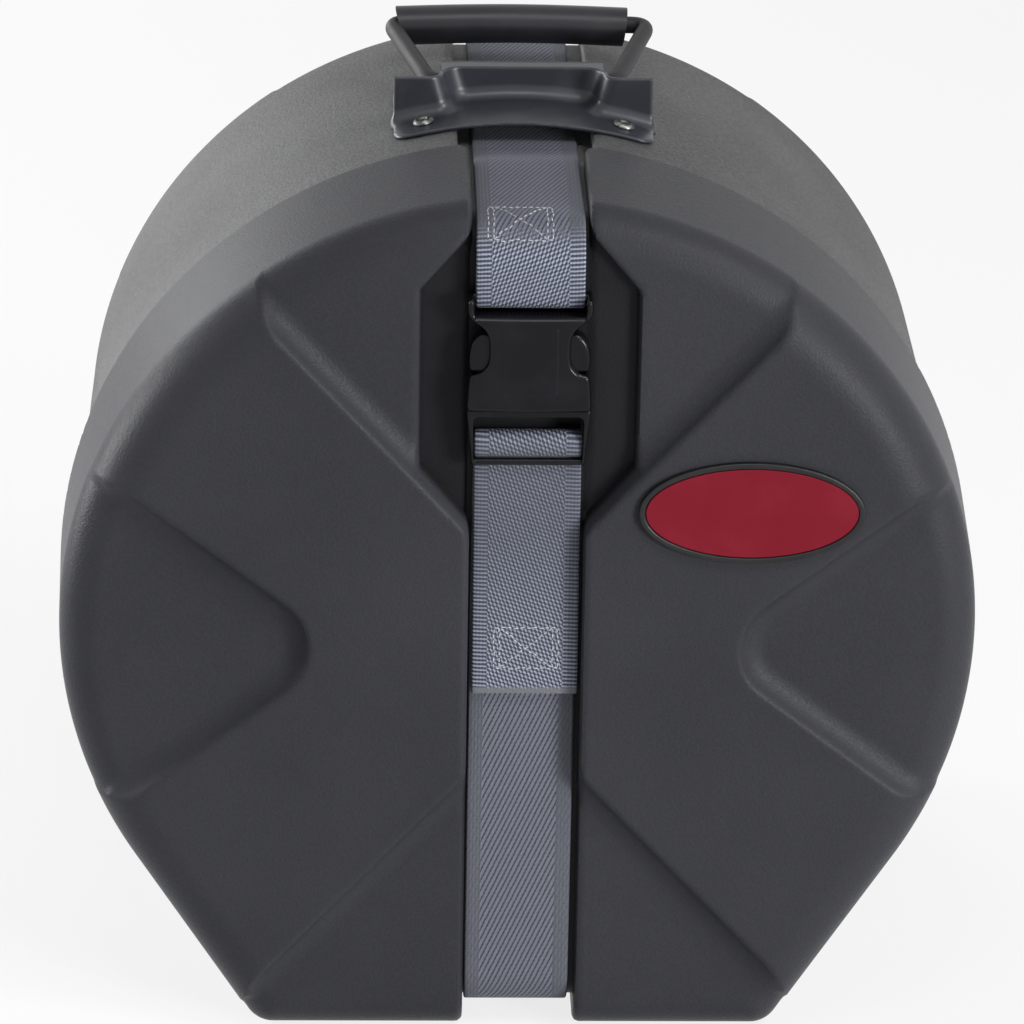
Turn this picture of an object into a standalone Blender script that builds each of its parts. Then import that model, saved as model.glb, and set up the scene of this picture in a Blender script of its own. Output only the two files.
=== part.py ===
"""A round two-piece drum case with a telescoping lid, a webbing strap with a side-release buckle,
and a folding bail handle.

Metres, +Z up. The case stands on its flat bottom at Z = 0 with its lid towards -Y, and the origin
is in the middle of the case's depth, under the middle of the drum circle.
"""
import math

import bmesh
import bpy
from mathutils import Matrix, Vector

# Case, seen from the front
LID_RADIUS = 0.208
LID_DRAFT = 0.0027
FLAT_CUT = 0.008
FLANK_ANGLE = math.radians(32.5)
CORNER_RADIUS = 0.014
MIDDLE_SHIFT = 0.0024

# Case, seen from the side
CASE_DEPTH = 0.305
LID_DEPTH = 0.091
SHOULDER_INSET = 0.012
SHOULDER_STEP = 0.0014
RIM_RADIUS = 0.025
WALL = 0.0045
LID_CLEARANCE = 0.0005

# Raised cross on the lid and on the back
RELIEF_DEPTH = 0.008
RELIEF_DRAFT = 0.006
FLOOR_INSET = 0.0013
ARM_ANGLE = math.radians(47.5)
SIDE_ANGLE = math.radians(37.8)
UPPER_APEX_SHARE = 0.172
LOWER_APEX_SHARE = 0.206
SIDE_APEX_SHARE = 0.380
SIDE_NOSE_SHARE = 0.135

# Strap channel and buckle pocket
CHANNEL_SIDE = 0.0015
LID_TOP_CHANNEL = 0.009
LID_BOTTOM_CHANNEL = 0.012
FACE_CHANNEL = 0.014
BACK_CHANNEL = 0.008
CHANNEL_BEND = 0.018
POCKET_SIDE_MARGIN = 0.020
POCKET_TOP_DROP = 0.030
POCKET_BOTTOM_INSET = 0.0015
POCKET_SLOPE = math.radians(50)

# Moulded feet under the base
FOOT_LENGTH = 0.165
FOOT_MARGIN = 0.004
FOOT_GAP = 0.008

# Webbing
STRAP_THICKNESS = 0.0022
TAIL_BELOW_MIDDLE = 0.025
STRAP_LAP = 0.020
BOTTOM_SPAN = 0.030

# Side-release buckle
BUCKLE_PROUD = 0.003
BUCKLE_WIDTH = 0.0555
BUCKLE_SIDE = 0.0035
BUCKLE_DROP = 0.0305
SOCKET_HEIGHT = 0.0525
SOCKET_SLOT_DEPTH = 0.0081
WAIST_INSET = 0.00975
WINDOW_HEIGHT = 0.0205
WINDOW_SILL = 0.0187
SOCKET_WALL = 0.003
SOCKET_BORE = 0.0104
SOCKET_ROOF = 0.001
BUCKLE_ROUND = 0.002
BAR_RADIUS = 0.0022
PLUG_HEIGHT = 0.0283
PLUG_HEAD = 0.0033
PLUG_RAIL = 0.003
PLUG_THICKNESS = 0.0125
CENTRE_BAR_STRAIGHT = 0.0032
OUTER_BAR_RADIUS = 0.0016
LADDER_DROP = 0.0025
TONGUE_WIDTH = 0.016
TONGUE_LENGTH = 0.034
TONGUE_THICKNESS = 0.004
PRONG_ARM = 0.0045
PRONG_THICKNESS = 0.0098
PRONG_INSET = 0.01275

# Bail handle and its bracket
BRACKET_WIDTH = 0.1195
BRACKET_FRONT = 0.103
BRACKET_LENGTH = 0.072
BRACKET_SHEET = 0.002
BRACKET_CORNER = 0.008
WALL_SETBACK = 0.022
WALL_RISE = 0.0165
TUNNEL_WIDTH = 0.0765
TUNNEL_SETBACK = 0.016
TUNNEL_LENGTH = 0.025
TUNNEL_FALL = 0.003
ROD_RADIUS = 0.004
ROD_BEND = 0.009
PIVOT_WIDTH = 0.0855
BAIL_WIDTH = 0.1226
BAIL_LENGTH = 0.065
BAIL_REST = math.radians(7)
BAIL_STUB = 0.028
GRIP_RADIUS = 0.0095
GRIP_LENGTH = 0.104
RIVET_HEAD_RADIUS = 0.005
RIVET_HEAD_HEIGHT = 0.002
RIVET_RADIUS = 0.0024
RIVET_FRONT_INSET = 0.013
RIVET_BACK_INSET = 0.009
WASHER_RADIUS = 0.008
WASHER_THICKNESS = 0.0015
WASHER_MARGIN = 0.00195

# Badge place
BADGE_WIDTH = 0.101
BADGE_HEIGHT = 0.0485
BADGE_RIM = 0.0027
BADGE_THICKNESS = 0.0026
BADGE_FLOOR = 0.001
BADGE_X_SHARE = 0.4822
BADGE_Z_SHARE = 0.3279

# Foam lining
PAD_THICKNESS = 0.008
SIDE_PAD_THICKNESS = 0.010
PAD_MARGIN = 0.001
SIDE_PAD_FROM = math.radians(-20)
SIDE_PAD_TO = math.radians(62)
FLOOR_PAD_MARGIN = 0.0107
PAD_END_MARGIN = 0.012

# Fits and facets
GAP = 0.0003
OVERRUN = 0.004
WELD = 0.00001
ARC_STEPS = 52
CORNER_STEPS = 4
RIM_STEPS = 5
BEND_STEPS = 5
PAD_STEPS = 14

# Worked out from the sizes above
FRONT_Y = -(CASE_DEPTH + BUCKLE_PROUD) / 2
FACE_Y = FRONT_Y + BUCKLE_PROUD
BACK_Y = FACE_Y + CASE_DEPTH
RIM_Y = FACE_Y + RIM_RADIUS
LID_EDGE_Y = FACE_Y + LID_DEPTH
SHOULDER_Y = LID_EDGE_Y - SHOULDER_INSET
LID_EDGE_RADIUS = LID_RADIUS + LID_DRAFT
CENTRE_Z = LID_RADIUS - FLAT_CUT
STRAP_WIDTH = BUCKLE_WIDTH - 2 * BUCKLE_SIDE
LID_CHANNEL_WIDTH = STRAP_WIDTH + 2 * CHANNEL_SIDE
NECK_RADIUS = LID_RADIUS - WALL - LID_CLEARANCE
BASE_RADIUS = NECK_RADIUS + SHOULDER_STEP
BASE_BOTTOM = CENTRE_Z - WALL - LID_CLEARANCE
INNER_RADIUS = NECK_RADIUS - WALL
BASE_CHANNEL_WIDTH = LID_CHANNEL_WIDTH + 2 * (WALL + LID_CLEARANCE)
RIVET_SPACING = BASE_CHANNEL_WIDTH + 2 * (WALL + GAP + WASHER_RADIUS + WASHER_MARGIN)
FACE_FLOOR_Y = FACE_Y + FACE_CHANNEL
NECK_Y = FACE_FLOOR_Y + CHANNEL_BEND + LID_CLEARANCE
BACK_FLOOR_Y = BACK_Y - BACK_CHANNEL
LID_TOP_FLOOR = LID_RADIUS - LID_TOP_CHANNEL
LID_BOTTOM_FLOOR = CENTRE_Z - LID_BOTTOM_CHANNEL
BASE_TOP_FLOOR = LID_TOP_FLOOR - WALL - LID_CLEARANCE
BASE_BOTTOM_FLOOR = LID_BOTTOM_FLOOR - WALL - LID_CLEARANCE
BUCKLE_TOP = LID_TOP_FLOOR - BUCKLE_DROP
PRONG_INNER = BUCKLE_WIDTH / 2 - PRONG_INSET
HALF_STRAP = STRAP_THICKNESS / 2
LAYER = STRAP_THICKNESS + GAP
STRAP_Y = FACE_FLOOR_Y - GAP - HALF_STRAP
BAR_WRAP = BAR_RADIUS + GAP + HALF_STRAP
BAR_Y = STRAP_Y - BAR_WRAP
BUCKLE_BACK_Y = FACE_FLOOR_Y - GAP
BUCKLE_BOTTOM = BUCKLE_TOP - SOCKET_HEIGHT - GAP - PLUG_HEIGHT
SPLIT_Z = BUCKLE_TOP - SOCKET_HEIGHT
SOCKET_BAR_Z = BUCKLE_TOP - BAR_RADIUS
PLUG_TOP_Z = SPLIT_Z - GAP
PRONG_ROOT_Z = PLUG_TOP_Z + GAP + PRONG_ARM / 2
SLOT_HALF = STRAP_WIDTH / 2 + GAP
OUTER_BAR_Z = BUCKLE_BOTTOM + OUTER_BAR_RADIUS
CENTRE_BAR_Z = (BUCKLE_BOTTOM + PLUG_TOP_Z - PLUG_HEAD) / 2 - LADDER_DROP
TAIL_Y = STRAP_Y - LAYER
OUTER_BAR_Y = TAIL_Y - HALF_STRAP - GAP - OUTER_BAR_RADIUS
BRACKET_Y = RIM_Y + BRACKET_FRONT
STRAP_LID_Y = FACE_FLOOR_Y + CHANNEL_BEND + GAP
STRAP_BASE_Y = BRACKET_Y - FOOT_GAP
STRAP_BASE_BOTTOM_Y = LID_EDGE_Y + BOTTOM_SPAN
WING_Y = BRACKET_Y + WALL_SETBACK
TUNNEL_Y = WING_Y + TUNNEL_SETBACK
PLATE_RADIUS = BASE_RADIUS + GAP
PLATE_TOP = PLATE_RADIUS + BRACKET_SHEET
WALL_TOP = BASE_RADIUS + WALL_RISE
PIVOT_Y = TUNNEL_Y + BRACKET_SHEET + ROD_RADIUS + GAP
PIVOT_Z = CENTRE_Z + PLATE_TOP + ROD_RADIUS + GAP
BADGE_X = BADGE_X_SHARE * LID_RADIUS
BADGE_Z = BADGE_Z_SHARE * LID_RADIUS
COLLECTION = "drum_case"


def clear_scene():
    """Remove every object, so that the part starts from nothing."""
    for found in list(bpy.data.objects):
        bpy.data.objects.remove(found, do_unlink=True)


def part_collection():
    """The collection that holds the part's pieces."""
    found = bpy.data.collections.get(COLLECTION)
    if found is None:
        found = bpy.data.collections.new(COLLECTION)
        bpy.context.scene.collection.children.link(found)
    return found


def finish(name, colour, roughness, metallic=0.0):
    """A Principled material of one colour."""
    made = bpy.data.materials.new(name)
    made.use_nodes = True
    shader = made.node_tree.nodes["Principled BSDF"]
    shader.inputs["Base Color"].default_value = (*colour, 1.0)
    shader.inputs["Roughness"].default_value = roughness
    shader.inputs["Metallic"].default_value = metallic
    return made


def mesh_object(name, mesh):
    """A new object of the part that shows a mesh."""
    made = bpy.data.objects.new(name, mesh)
    part_collection().objects.link(made)
    return made


def from_bmesh(name, shape):
    """Weld a bmesh, turn its faces outwards and make it an object."""
    bmesh.ops.remove_doubles(shape, verts=shape.verts, dist=WELD)
    bmesh.ops.recalc_face_normals(shape, faces=shape.faces)
    mesh = bpy.data.meshes.new(name)
    shape.to_mesh(mesh)
    shape.free()
    return mesh_object(name, mesh)


def loft(name, rings):
    """A closed solid through rings of equally many points, capped at both ends."""
    shape = bmesh.new()
    loops = [[shape.verts.new(point) for point in ring] for ring in rings]
    for near, far in zip(loops, loops[1:]):
        for index in range(len(near)):
            after = (index + 1) % len(near)
            shape.faces.new((near[index], near[after], far[after], far[index]))
    caps = [shape.faces.new(loops[0]), shape.faces.new(loops[-1])]
    bmesh.ops.triangulate(shape, faces=caps)
    return from_bmesh(name, shape)


AXES = {
    "X": Matrix(((0, 0, 1), (1, 0, 0), (0, 1, 0))).to_4x4(),
    "Y": Matrix(((1, 0, 0), (0, 0, 1), (0, 1, 0))).to_4x4(),
    "Z": Matrix.Identity(4),
}


def prism(name, outline, axis, low, high, rounding=0.0):
    """A flat outline drawn as a 2D curve and extruded between two places along an axis.

    The outline's two values are Y and Z for axis X, X and Z for axis Y, and X and Y for axis Z.
    Rounding is a bevel all round both flat ends, inside the outline.
    """
    curve = bpy.data.curves.new(name, "CURVE")
    curve.dimensions = "2D"
    curve.fill_mode = "BOTH"
    curve.extrude = (high - low) / 2 - rounding
    curve.bevel_depth = rounding
    curve.bevel_resolution = 1
    curve.offset = -rounding
    spline = curve.splines.new("POLY")
    spline.points.add(len(outline) - 1)
    for point, (first, second) in zip(spline.points, outline):
        point.co = (first, second, 0, 1)
    spline.use_cyclic_u = True
    drawn = bpy.data.objects.new(name, curve)
    bpy.context.scene.collection.objects.link(drawn)
    bpy.context.view_layer.update()
    evaluated = drawn.evaluated_get(bpy.context.evaluated_depsgraph_get())
    mesh = bpy.data.meshes.new_from_object(evaluated)
    bpy.data.objects.remove(drawn, do_unlink=True)
    shape = bmesh.new()
    shape.from_mesh(mesh)
    bmesh.ops.translate(shape, verts=shape.verts, vec=(0, 0, (low + high) / 2))
    bmesh.ops.transform(shape, verts=shape.verts, matrix=AXES[axis])
    return from_bmesh(name, shape)


def box(name, low, high):
    """A box between two corners."""
    shape = bmesh.new()
    bmesh.ops.create_cube(shape, size=1)
    low, high = Vector(low), Vector(high)
    bmesh.ops.scale(shape, verts=shape.verts, vec=high - low)
    bmesh.ops.translate(shape, verts=shape.verts, vec=(low + high) / 2)
    return from_bmesh(name, shape)


def rod(name, start, end, radius, steps=16):
    """A round bar between two points."""
    start, end = Vector(start), Vector(end)
    along = end - start
    shape = bmesh.new()
    bmesh.ops.create_cone(
        shape, cap_ends=True, segments=steps, radius1=radius, radius2=radius, depth=along.length
    )
    turn = Vector((0, 0, 1)).rotation_difference(along).to_matrix().to_4x4()
    place = Matrix.Translation((start + end) / 2)
    bmesh.ops.transform(shape, verts=shape.verts, matrix=place @ turn)
    return from_bmesh(name, shape)


def combine(target, tool, operation):
    """Apply a Boolean of one piece with another and use the other up."""
    change = target.modifiers.new(operation.lower(), "BOOLEAN")
    change.operation = operation
    change.solver = "EXACT"
    change.object = tool
    bpy.context.view_layer.update()
    evaluated = target.evaluated_get(bpy.context.evaluated_depsgraph_get())
    mesh = bpy.data.meshes.new_from_object(evaluated)
    target.modifiers.remove(change)
    shape = bmesh.new()
    shape.from_mesh(mesh)
    bmesh.ops.remove_doubles(shape, verts=shape.verts, dist=WELD)
    bmesh.ops.dissolve_degenerate(shape, edges=shape.edges, dist=WELD)
    shape.to_mesh(mesh)
    shape.free()
    target.data = mesh
    bpy.data.objects.remove(tool, do_unlink=True)
    return target


def dress(piece, material, smooth=None):
    """Give a piece its material, and smooth shading below an angle."""
    piece.data.materials.clear()
    piece.data.materials.append(material)
    if smooth is not None:
        piece.data.shade_smooth()
        piece.data.set_sharp_from_angle(angle=smooth)
    return piece


def arc(middle, radius, start, end, steps):
    """Points along an arc about a point of the drawing plane."""
    turns = [start + (end - start) * step / steps for step in range(steps + 1)]
    return [(middle[0] + radius * math.cos(t), middle[1] + radius * math.sin(t)) for t in turns]


def flat_half(radius, bottom, corner):
    """Half the width of a case outline's flat bottom, between its round corners."""
    return (radius - corner + (corner - bottom) * math.sin(FLANK_ANGLE)) / math.cos(FLANK_ANGLE)


def case_outline(radius, bottom, corner, steps=ARC_STEPS):
    """Drum circle, flanks that leave it at the flank angle, and a flat bottom with round corners."""
    corner_z = corner - bottom
    corner_x = flat_half(radius, bottom, corner)
    points = arc((0, 0), radius, -FLANK_ANGLE, math.pi + FLANK_ANGLE, steps)
    points += arc(
        (-corner_x, corner_z), corner, math.pi + FLANK_ANGLE, 3 * math.pi / 2, CORNER_STEPS
    )
    points += arc((corner_x, corner_z), corner, -math.pi / 2, -FLANK_ANGLE, CORNER_STEPS)
    return points


def case_ring(radius, bottom, corner, y):
    """The case outline as a ring of points across the case's depth."""
    return [Vector((x, y, CENTRE_Z + z)) for x, z in case_outline(radius, bottom, corner)]


def case_form(name, stations, rim, face_y, outward):
    """A closed case body: straight walls through stations, then a rounded rim to its end face.

    A station is a place in depth, a drum radius and the flat bottom's distance below the middle.
    """
    rings = [case_ring(radius, bottom, CORNER_RADIUS, y) for y, radius, bottom in stations]
    _, radius, bottom = stations[-1]
    for step in range(RIM_STEPS + 1):
        turn = math.pi / 2 * step / RIM_STEPS
        inset = rim * (1 - math.cos(turn))
        y = face_y - outward * rim * (1 - math.sin(turn))
        corner = max(CORNER_RADIUS - inset, CORNER_RADIUS / ARC_STEPS)
        rings.append(case_ring(radius - inset, bottom - inset, corner, y))
    return loft(name, rings)


def vee_points(apex, shift, upward, reach):
    """A wedge that opens up or down at the cross's arm angle, its edges moved out by a shift."""
    tip = apex - shift / math.cos(ARM_ANGLE)
    rise = reach * math.tan(ARM_ANGLE)
    points = [(0, tip), (reach, tip + rise), (-reach, tip + rise)]
    return [(MIDDLE_SHIFT + x, upward * z) for x, z in points]


def nose_points(apex, nose, shift, side, reach):
    """A sideways wedge with a round nose, its edges moved out by a shift."""
    middle = apex + nose / math.sin(SIDE_ANGLE)
    radius = nose - RELIEF_DRAFT + shift
    start, end = math.pi / 2 + SIDE_ANGLE, 3 * math.pi / 2 - SIDE_ANGLE
    round_nose = arc((middle, 0), radius, start, end, 2 * CORNER_STEPS)
    along = (reach * math.cos(SIDE_ANGLE), reach * math.sin(SIDE_ANGLE))
    top, low = round_nose[0], round_nose[-1]
    points = [(top[0] + along[0], top[1] + along[1]), *round_nose]
    points.append((low[0] + along[0], low[1] - along[1]))
    return [(MIDDLE_SHIFT + side * x, z) for x, z in points]


def pocket_points(grow):
    """The six-sided pocket round the buckle."""
    half = BUCKLE_WIDTH / 2 + POCKET_SIDE_MARGIN + grow
    channel = LID_CHANNEL_WIDTH / 2
    top = LID_TOP_FLOOR - POCKET_TOP_DROP
    low = BUCKLE_BOTTOM - POCKET_BOTTOM_INSET
    slope = (half - channel) * math.tan(POCKET_SLOPE)
    points = [(channel, top + slope), (half, top), (half, low), (channel, low - slope)]
    points += [(-x, z) for x, z in reversed(points)]
    return [(MIDDLE_SHIFT + x, z) for x, z in points]


def drafted_cutter(name, outline, depth, face_y, outward, grow):
    """A cutter whose walls lean out from a floor to the face and on past both."""
    rings = []
    slope = RELIEF_DRAFT / RELIEF_DEPTH
    for level in (-OVERRUN, depth + 2 * OVERRUN):
        shift = (RELIEF_DEPTH - level) * slope + grow
        y = face_y - outward * level
        rings.append([Vector((x, y, CENTRE_Z + z)) for x, z in outline(shift)])
    return loft(name, rings)


def relief_outlines():
    """The four sunk panels between the arms of the cross, each as a function of its shift."""
    reach = LID_RADIUS + CORNER_RADIUS * 4
    apex, nose = SIDE_APEX_SHARE * LID_RADIUS, SIDE_NOSE_SHARE * LID_RADIUS
    return (
        lambda shift: vee_points(UPPER_APEX_SHARE * LID_RADIUS, shift, 1, reach),
        lambda shift: vee_points(LOWER_APEX_SHARE * LID_RADIUS, shift, -1, reach),
        lambda shift: nose_points(apex, nose, shift, 1, reach),
        lambda shift: nose_points(apex, nose, shift, -1, reach),
    )


def channel_cutter(name, width, open_y, floor_y, top_floor, bottom_floor, outward, grow):
    """What the strap's channel takes off: a slab across the case less a round-cornered core."""
    half = width / 2 + grow
    bend = CHANNEL_BEND - grow
    end = floor_y - outward * grow
    top, low = CENTRE_Z + top_floor - grow, CENTRE_Z - bottom_floor + grow
    past = open_y - outward * 2 * OVERRUN
    core = [(past, low), (past, top)]
    inner = end - outward * bend
    for start, turn, z in ((math.pi / 2, 0, top - bend), (0, -math.pi / 2, low + bend)):
        for y, height in arc((0, z), bend, start, turn, BEND_STEPS):
            core.append((inner + outward * y, height))
    reach = LID_EDGE_RADIUS + OVERRUN
    slab = box(
        name,
        (MIDDLE_SHIFT - half, min(open_y, floor_y) - CASE_DEPTH, CENTRE_Z - reach),
        (MIDDLE_SHIFT + half, max(open_y, floor_y) + CASE_DEPTH, CENTRE_Z + reach),
    )
    past_side = half + OVERRUN
    solid = prism("core", core, "X", MIDDLE_SHIFT - past_side, MIDDLE_SHIFT + past_side)
    return combine(slab, solid, "DIFFERENCE")


def relief_solid(name, stations, face_y, outward, channel, pocket, grow):
    """A case body with its cross, buckle pocket and strap channel, shrunk inwards by a wall."""
    face = face_y - outward * grow
    shrunk = [(y, radius - grow, bottom - grow) for y, radius, bottom in stations]
    solid = case_form(name, shrunk, RIM_RADIUS - grow, face, outward)
    for outline in relief_outlines():
        cutter = drafted_cutter("panel", outline, RELIEF_DEPTH + grow, face_y, outward, grow)
        solid = combine(solid, cutter, "DIFFERENCE")
    floor = [(y, radius - FLOOR_INSET, bottom - FLOOR_INSET) for y, radius, bottom in shrunk]
    floor[0] = (floor[0][0] + outward * OVERRUN / 2, *floor[0][1:])
    core = case_form("floor", floor, RIM_RADIUS - grow - RELIEF_DEPTH,
                     face - outward * RELIEF_DEPTH, outward)
    solid = combine(solid, core, "UNION")
    if pocket:
        low, high = sorted((FACE_FLOOR_Y - outward * grow, face_y + outward * 2 * OVERRUN))
        cutter = prism("pocket", [(x, CENTRE_Z + z) for x, z in pocket_points(grow)],
                       "Y", low, high)
        solid = combine(solid, cutter, "DIFFERENCE")
    return combine(solid, channel_cutter("channel", *channel, outward, grow), "DIFFERENCE")


def lid_shell(material):
    """The telescoping lid: a hollow moulding open to the back."""
    stations = [(LID_EDGE_Y, LID_EDGE_RADIUS, CENTRE_Z), (RIM_Y, LID_RADIUS, CENTRE_Z)]
    channel = (LID_CHANNEL_WIDTH, LID_EDGE_Y, FACE_FLOOR_Y, LID_TOP_FLOOR, LID_BOTTOM_FLOOR)
    lid = relief_solid("lid_shell", stations, FACE_Y, -1, channel, True, 0)
    inside = [(LID_EDGE_Y + OVERRUN, LID_EDGE_RADIUS, CENTRE_Z), stations[1]]
    hollow = relief_solid("hollow", inside, FACE_Y, -1, channel, True, WALL)
    lid = combine(lid, hollow, "DIFFERENCE")
    return dress(lid, material, math.radians(24))


def foot(side):
    """A moulded foot that brings the base's bottom level with the lid's."""
    inner = BASE_CHANNEL_WIDTH / 2 + FOOT_MARGIN
    front = LID_EDGE_Y + FOOT_GAP
    outer = flat_half(NECK_RADIUS, BASE_BOTTOM, CORNER_RADIUS) - FOOT_MARGIN
    outline = rounded_box_points(inner, outer, front, front + FOOT_LENGTH, CORNER_RADIUS)
    outline = [(MIDDLE_SHIFT + side * x, y) for x, y in outline]
    return prism("foot", outline, "Z", 0, CENTRE_Z - BASE_BOTTOM + WALL / 2)


def rounded_box_points(left, right, low, high, corner):
    """A rectangle with round corners."""
    points = []
    for x, y, start in (
        (right - corner, high - corner, 0),
        (left + corner, high - corner, math.pi / 2),
        (left + corner, low + corner, math.pi),
        (right - corner, low + corner, 3 * math.pi / 2),
    ):
        points += arc((x, y), corner, start, start + math.pi / 2, CORNER_STEPS)
    return points


def base_shell(material):
    """The base: a deeper moulding, with a neck inside the lid and feet under it."""
    stations = [
        (NECK_Y, NECK_RADIUS, BASE_BOTTOM),
        (SHOULDER_Y, NECK_RADIUS, BASE_BOTTOM),
        (SHOULDER_Y + SHOULDER_STEP, BASE_RADIUS, BASE_BOTTOM),
        (BACK_Y - RIM_RADIUS, BASE_RADIUS, BASE_BOTTOM),
    ]
    channel = (BASE_CHANNEL_WIDTH, NECK_Y, BACK_FLOOR_Y, BASE_TOP_FLOOR, BASE_BOTTOM_FLOOR)
    base = relief_solid("base_shell", stations, BACK_Y, 1, channel, False, 0)
    for side in (-1, 1):
        base = combine(base, foot(side), "UNION")
    inside = [
        (NECK_Y - OVERRUN, NECK_RADIUS, BASE_BOTTOM),
        (BACK_Y - RIM_RADIUS, NECK_RADIUS, BASE_BOTTOM),
    ]
    hollow = relief_solid("hollow", inside, BACK_Y, 1, channel, False, WALL)
    base = combine(base, hollow, "DIFFERENCE")
    return dress(base, material, math.radians(24))


def ribbon(name, path, material):
    """Webbing laid along a path of depth and height: an open strip given its thickness."""
    shape = bmesh.new()
    half = STRAP_WIDTH / 2
    rows = [[shape.verts.new((MIDDLE_SHIFT + x, y, z)) for x in (-half, half)] for y, z in path]
    for near, far in zip(rows, rows[1:]):
        shape.faces.new((near[0], near[1], far[1], far[0]))
    mesh = bpy.data.meshes.new(name)
    shape.to_mesh(mesh)
    shape.free()
    strip = mesh_object(name, mesh)
    thicken = strip.modifiers.new("thickness", "SOLIDIFY")
    thicken.thickness = STRAP_THICKNESS
    thicken.offset = 0
    thicken.use_even_offset = True
    return dress(strip, material, math.radians(40))


def turn_path(middle, radius, start_degrees, end_degrees, steps=BEND_STEPS):
    """A bend in the strap's path."""
    return arc(middle, radius, math.radians(start_degrees), math.radians(end_degrees), steps)


def strap_levels():
    """Heights of the strap's middle on the lid and on the base, at the top and at the bottom."""
    rise = GAP + HALF_STRAP
    return (
        CENTRE_Z + LID_TOP_FLOOR + rise,
        CENTRE_Z - LID_BOTTOM_FLOOR - rise,
        CENTRE_Z + BASE_TOP_FLOOR + rise,
        CENTRE_Z - BASE_BOTTOM_FLOOR - rise,
    )


def base_strap(material):
    """The strap's run over the base: under the handle, down the back and forward below."""
    _, _, top, low = strap_levels()
    back = BACK_FLOOR_Y + GAP + HALF_STRAP
    bend = CHANNEL_BEND + GAP + HALF_STRAP
    path = [(STRAP_BASE_Y + GAP, top)]
    path += turn_path((back - bend, top - bend), bend, 90, 0)
    path += turn_path((back - bend, low + bend), bend, 0, -90)
    path.append((STRAP_BASE_BOTTOM_Y + GAP, low))
    return ribbon("strap_base", path, material)


def strap_stretches(material):
    """The two short runs that cross from the lid to the base and stretch as the lid slides."""
    lid_top, lid_low, base_top, base_low = strap_levels()
    start = STRAP_LID_Y + GAP
    top = [(start, lid_top), (LID_EDGE_Y, lid_top)]
    top += [(STRAP_BASE_Y - STRAP_THICKNESS, base_top), (STRAP_BASE_Y, base_top)]
    low = [(start, lid_low), (LID_EDGE_Y, lid_low)]
    low += [(STRAP_BASE_BOTTOM_Y - STRAP_THICKNESS, base_low), (STRAP_BASE_BOTTOM_Y, base_low)]
    return [
        ribbon("strap_top_stretch", top, material),
        ribbon("strap_bottom_stretch", low, material),
    ]


def upper_strap(material):
    """From the lid's top rim down its face, round the socket's bar and back up behind itself."""
    lid_top = strap_levels()[0]
    bar = CENTRE_Z + SOCKET_BAR_Z
    front = BAR_Y - BAR_WRAP
    bend = CHANNEL_BEND
    path = [(STRAP_LID_Y, lid_top)]
    path += turn_path((front + bend, lid_top - bend), bend, 90, 180)
    path += turn_path((BAR_Y, bar), BAR_WRAP, 180, 360, 2 * BEND_STEPS)
    path.append((STRAP_Y, CENTRE_Z + LID_TOP_FLOOR - STRAP_LAP))
    return ribbon("strap_upper", path, material)


def lower_strap(material):
    """Up the lid's face, over the ladder's middle bar and down again as the loose tail."""
    lid_low = strap_levels()[1]
    bend = CHANNEL_BEND + GAP + HALF_STRAP
    middle = CENTRE_Z + CENTRE_BAR_Z
    half = CENTRE_BAR_STRAIGHT / 2
    outer = CENTRE_Z + OUTER_BAR_Z
    path = [(STRAP_LID_Y, lid_low)]
    path += turn_path((STRAP_Y + bend, lid_low + bend), bend, 270, 180)
    path += turn_path((BAR_Y, middle + half), BAR_WRAP, 0, 180, 2 * BEND_STEPS)
    path += turn_path((BAR_Y, middle - half), BAR_WRAP, 180, 225)
    path.append((TAIL_Y, outer + OUTER_BAR_RADIUS + GAP))
    path.append((TAIL_Y, CENTRE_Z - TAIL_BELOW_MIDDLE))
    return ribbon("strap_lower", path, material)


def mirrored(points):
    """A right half outline, top to bottom, with its mirror image on the left."""
    whole = points + [(-x, z) for x, z in reversed(points)]
    return [(MIDDLE_SHIFT + x, CENTRE_Z + z) for x, z in whole]


def buckle_socket(material):
    """The female half: ears and a bar for the strap, a waist with side windows, a box below."""
    half = BUCKLE_WIDTH / 2
    waist = half - WAIST_INSET
    sill = SPLIT_Z + WINDOW_SILL
    head = sill + WINDOW_HEIGHT
    slot = BUCKLE_TOP - SOCKET_SLOT_DEPTH
    round_ear = (half - SLOT_HALF) / 2
    ear = half - round_ear
    outline = [(SLOT_HALF, slot), (SLOT_HALF, BUCKLE_TOP - round_ear)]
    outline += turn_path((ear, BUCKLE_TOP - round_ear), round_ear, 180, 0, CORNER_STEPS)
    corner = (half - waist) / 2
    outline += turn_path((half - corner, head + corner), corner, 0, -90, CORNER_STEPS)
    outline += turn_path((waist + corner, head - corner), corner, 90, 180, CORNER_STEPS)
    outline += turn_path((waist + corner, sill + corner), corner, 180, 270, CORNER_STEPS)
    outline += [(half - corner, sill), (half - BUCKLE_ROUND, sill - BUCKLE_ROUND)]
    outline += [(half, SPLIT_Z)]
    body = prism("buckle_socket", mirrored(outline), "Y", FRONT_Y, BUCKLE_BACK_Y, BUCKLE_ROUND)
    bore_half = half - SOCKET_WALL
    middle = (FRONT_Y + BUCKLE_BACK_Y) / 2
    bore = box(
        "bore",
        (MIDDLE_SHIFT - bore_half, middle - SOCKET_BORE / 2, CENTRE_Z + SPLIT_Z - OVERRUN),
        (MIDDLE_SHIFT + bore_half, middle + SOCKET_BORE / 2, CENTRE_Z + head - SOCKET_ROOF),
    )
    body = combine(body, bore, "DIFFERENCE")
    reach = SLOT_HALF + round_ear
    bar_z = CENTRE_Z + SOCKET_BAR_Z
    bar = rod("bar", (MIDDLE_SHIFT - reach, BAR_Y, bar_z), (MIDDLE_SHIFT + reach, BAR_Y, bar_z),
              BAR_RADIUS)
    body = combine(body, bar, "UNION")
    return dress(body, material, math.radians(40))


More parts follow.
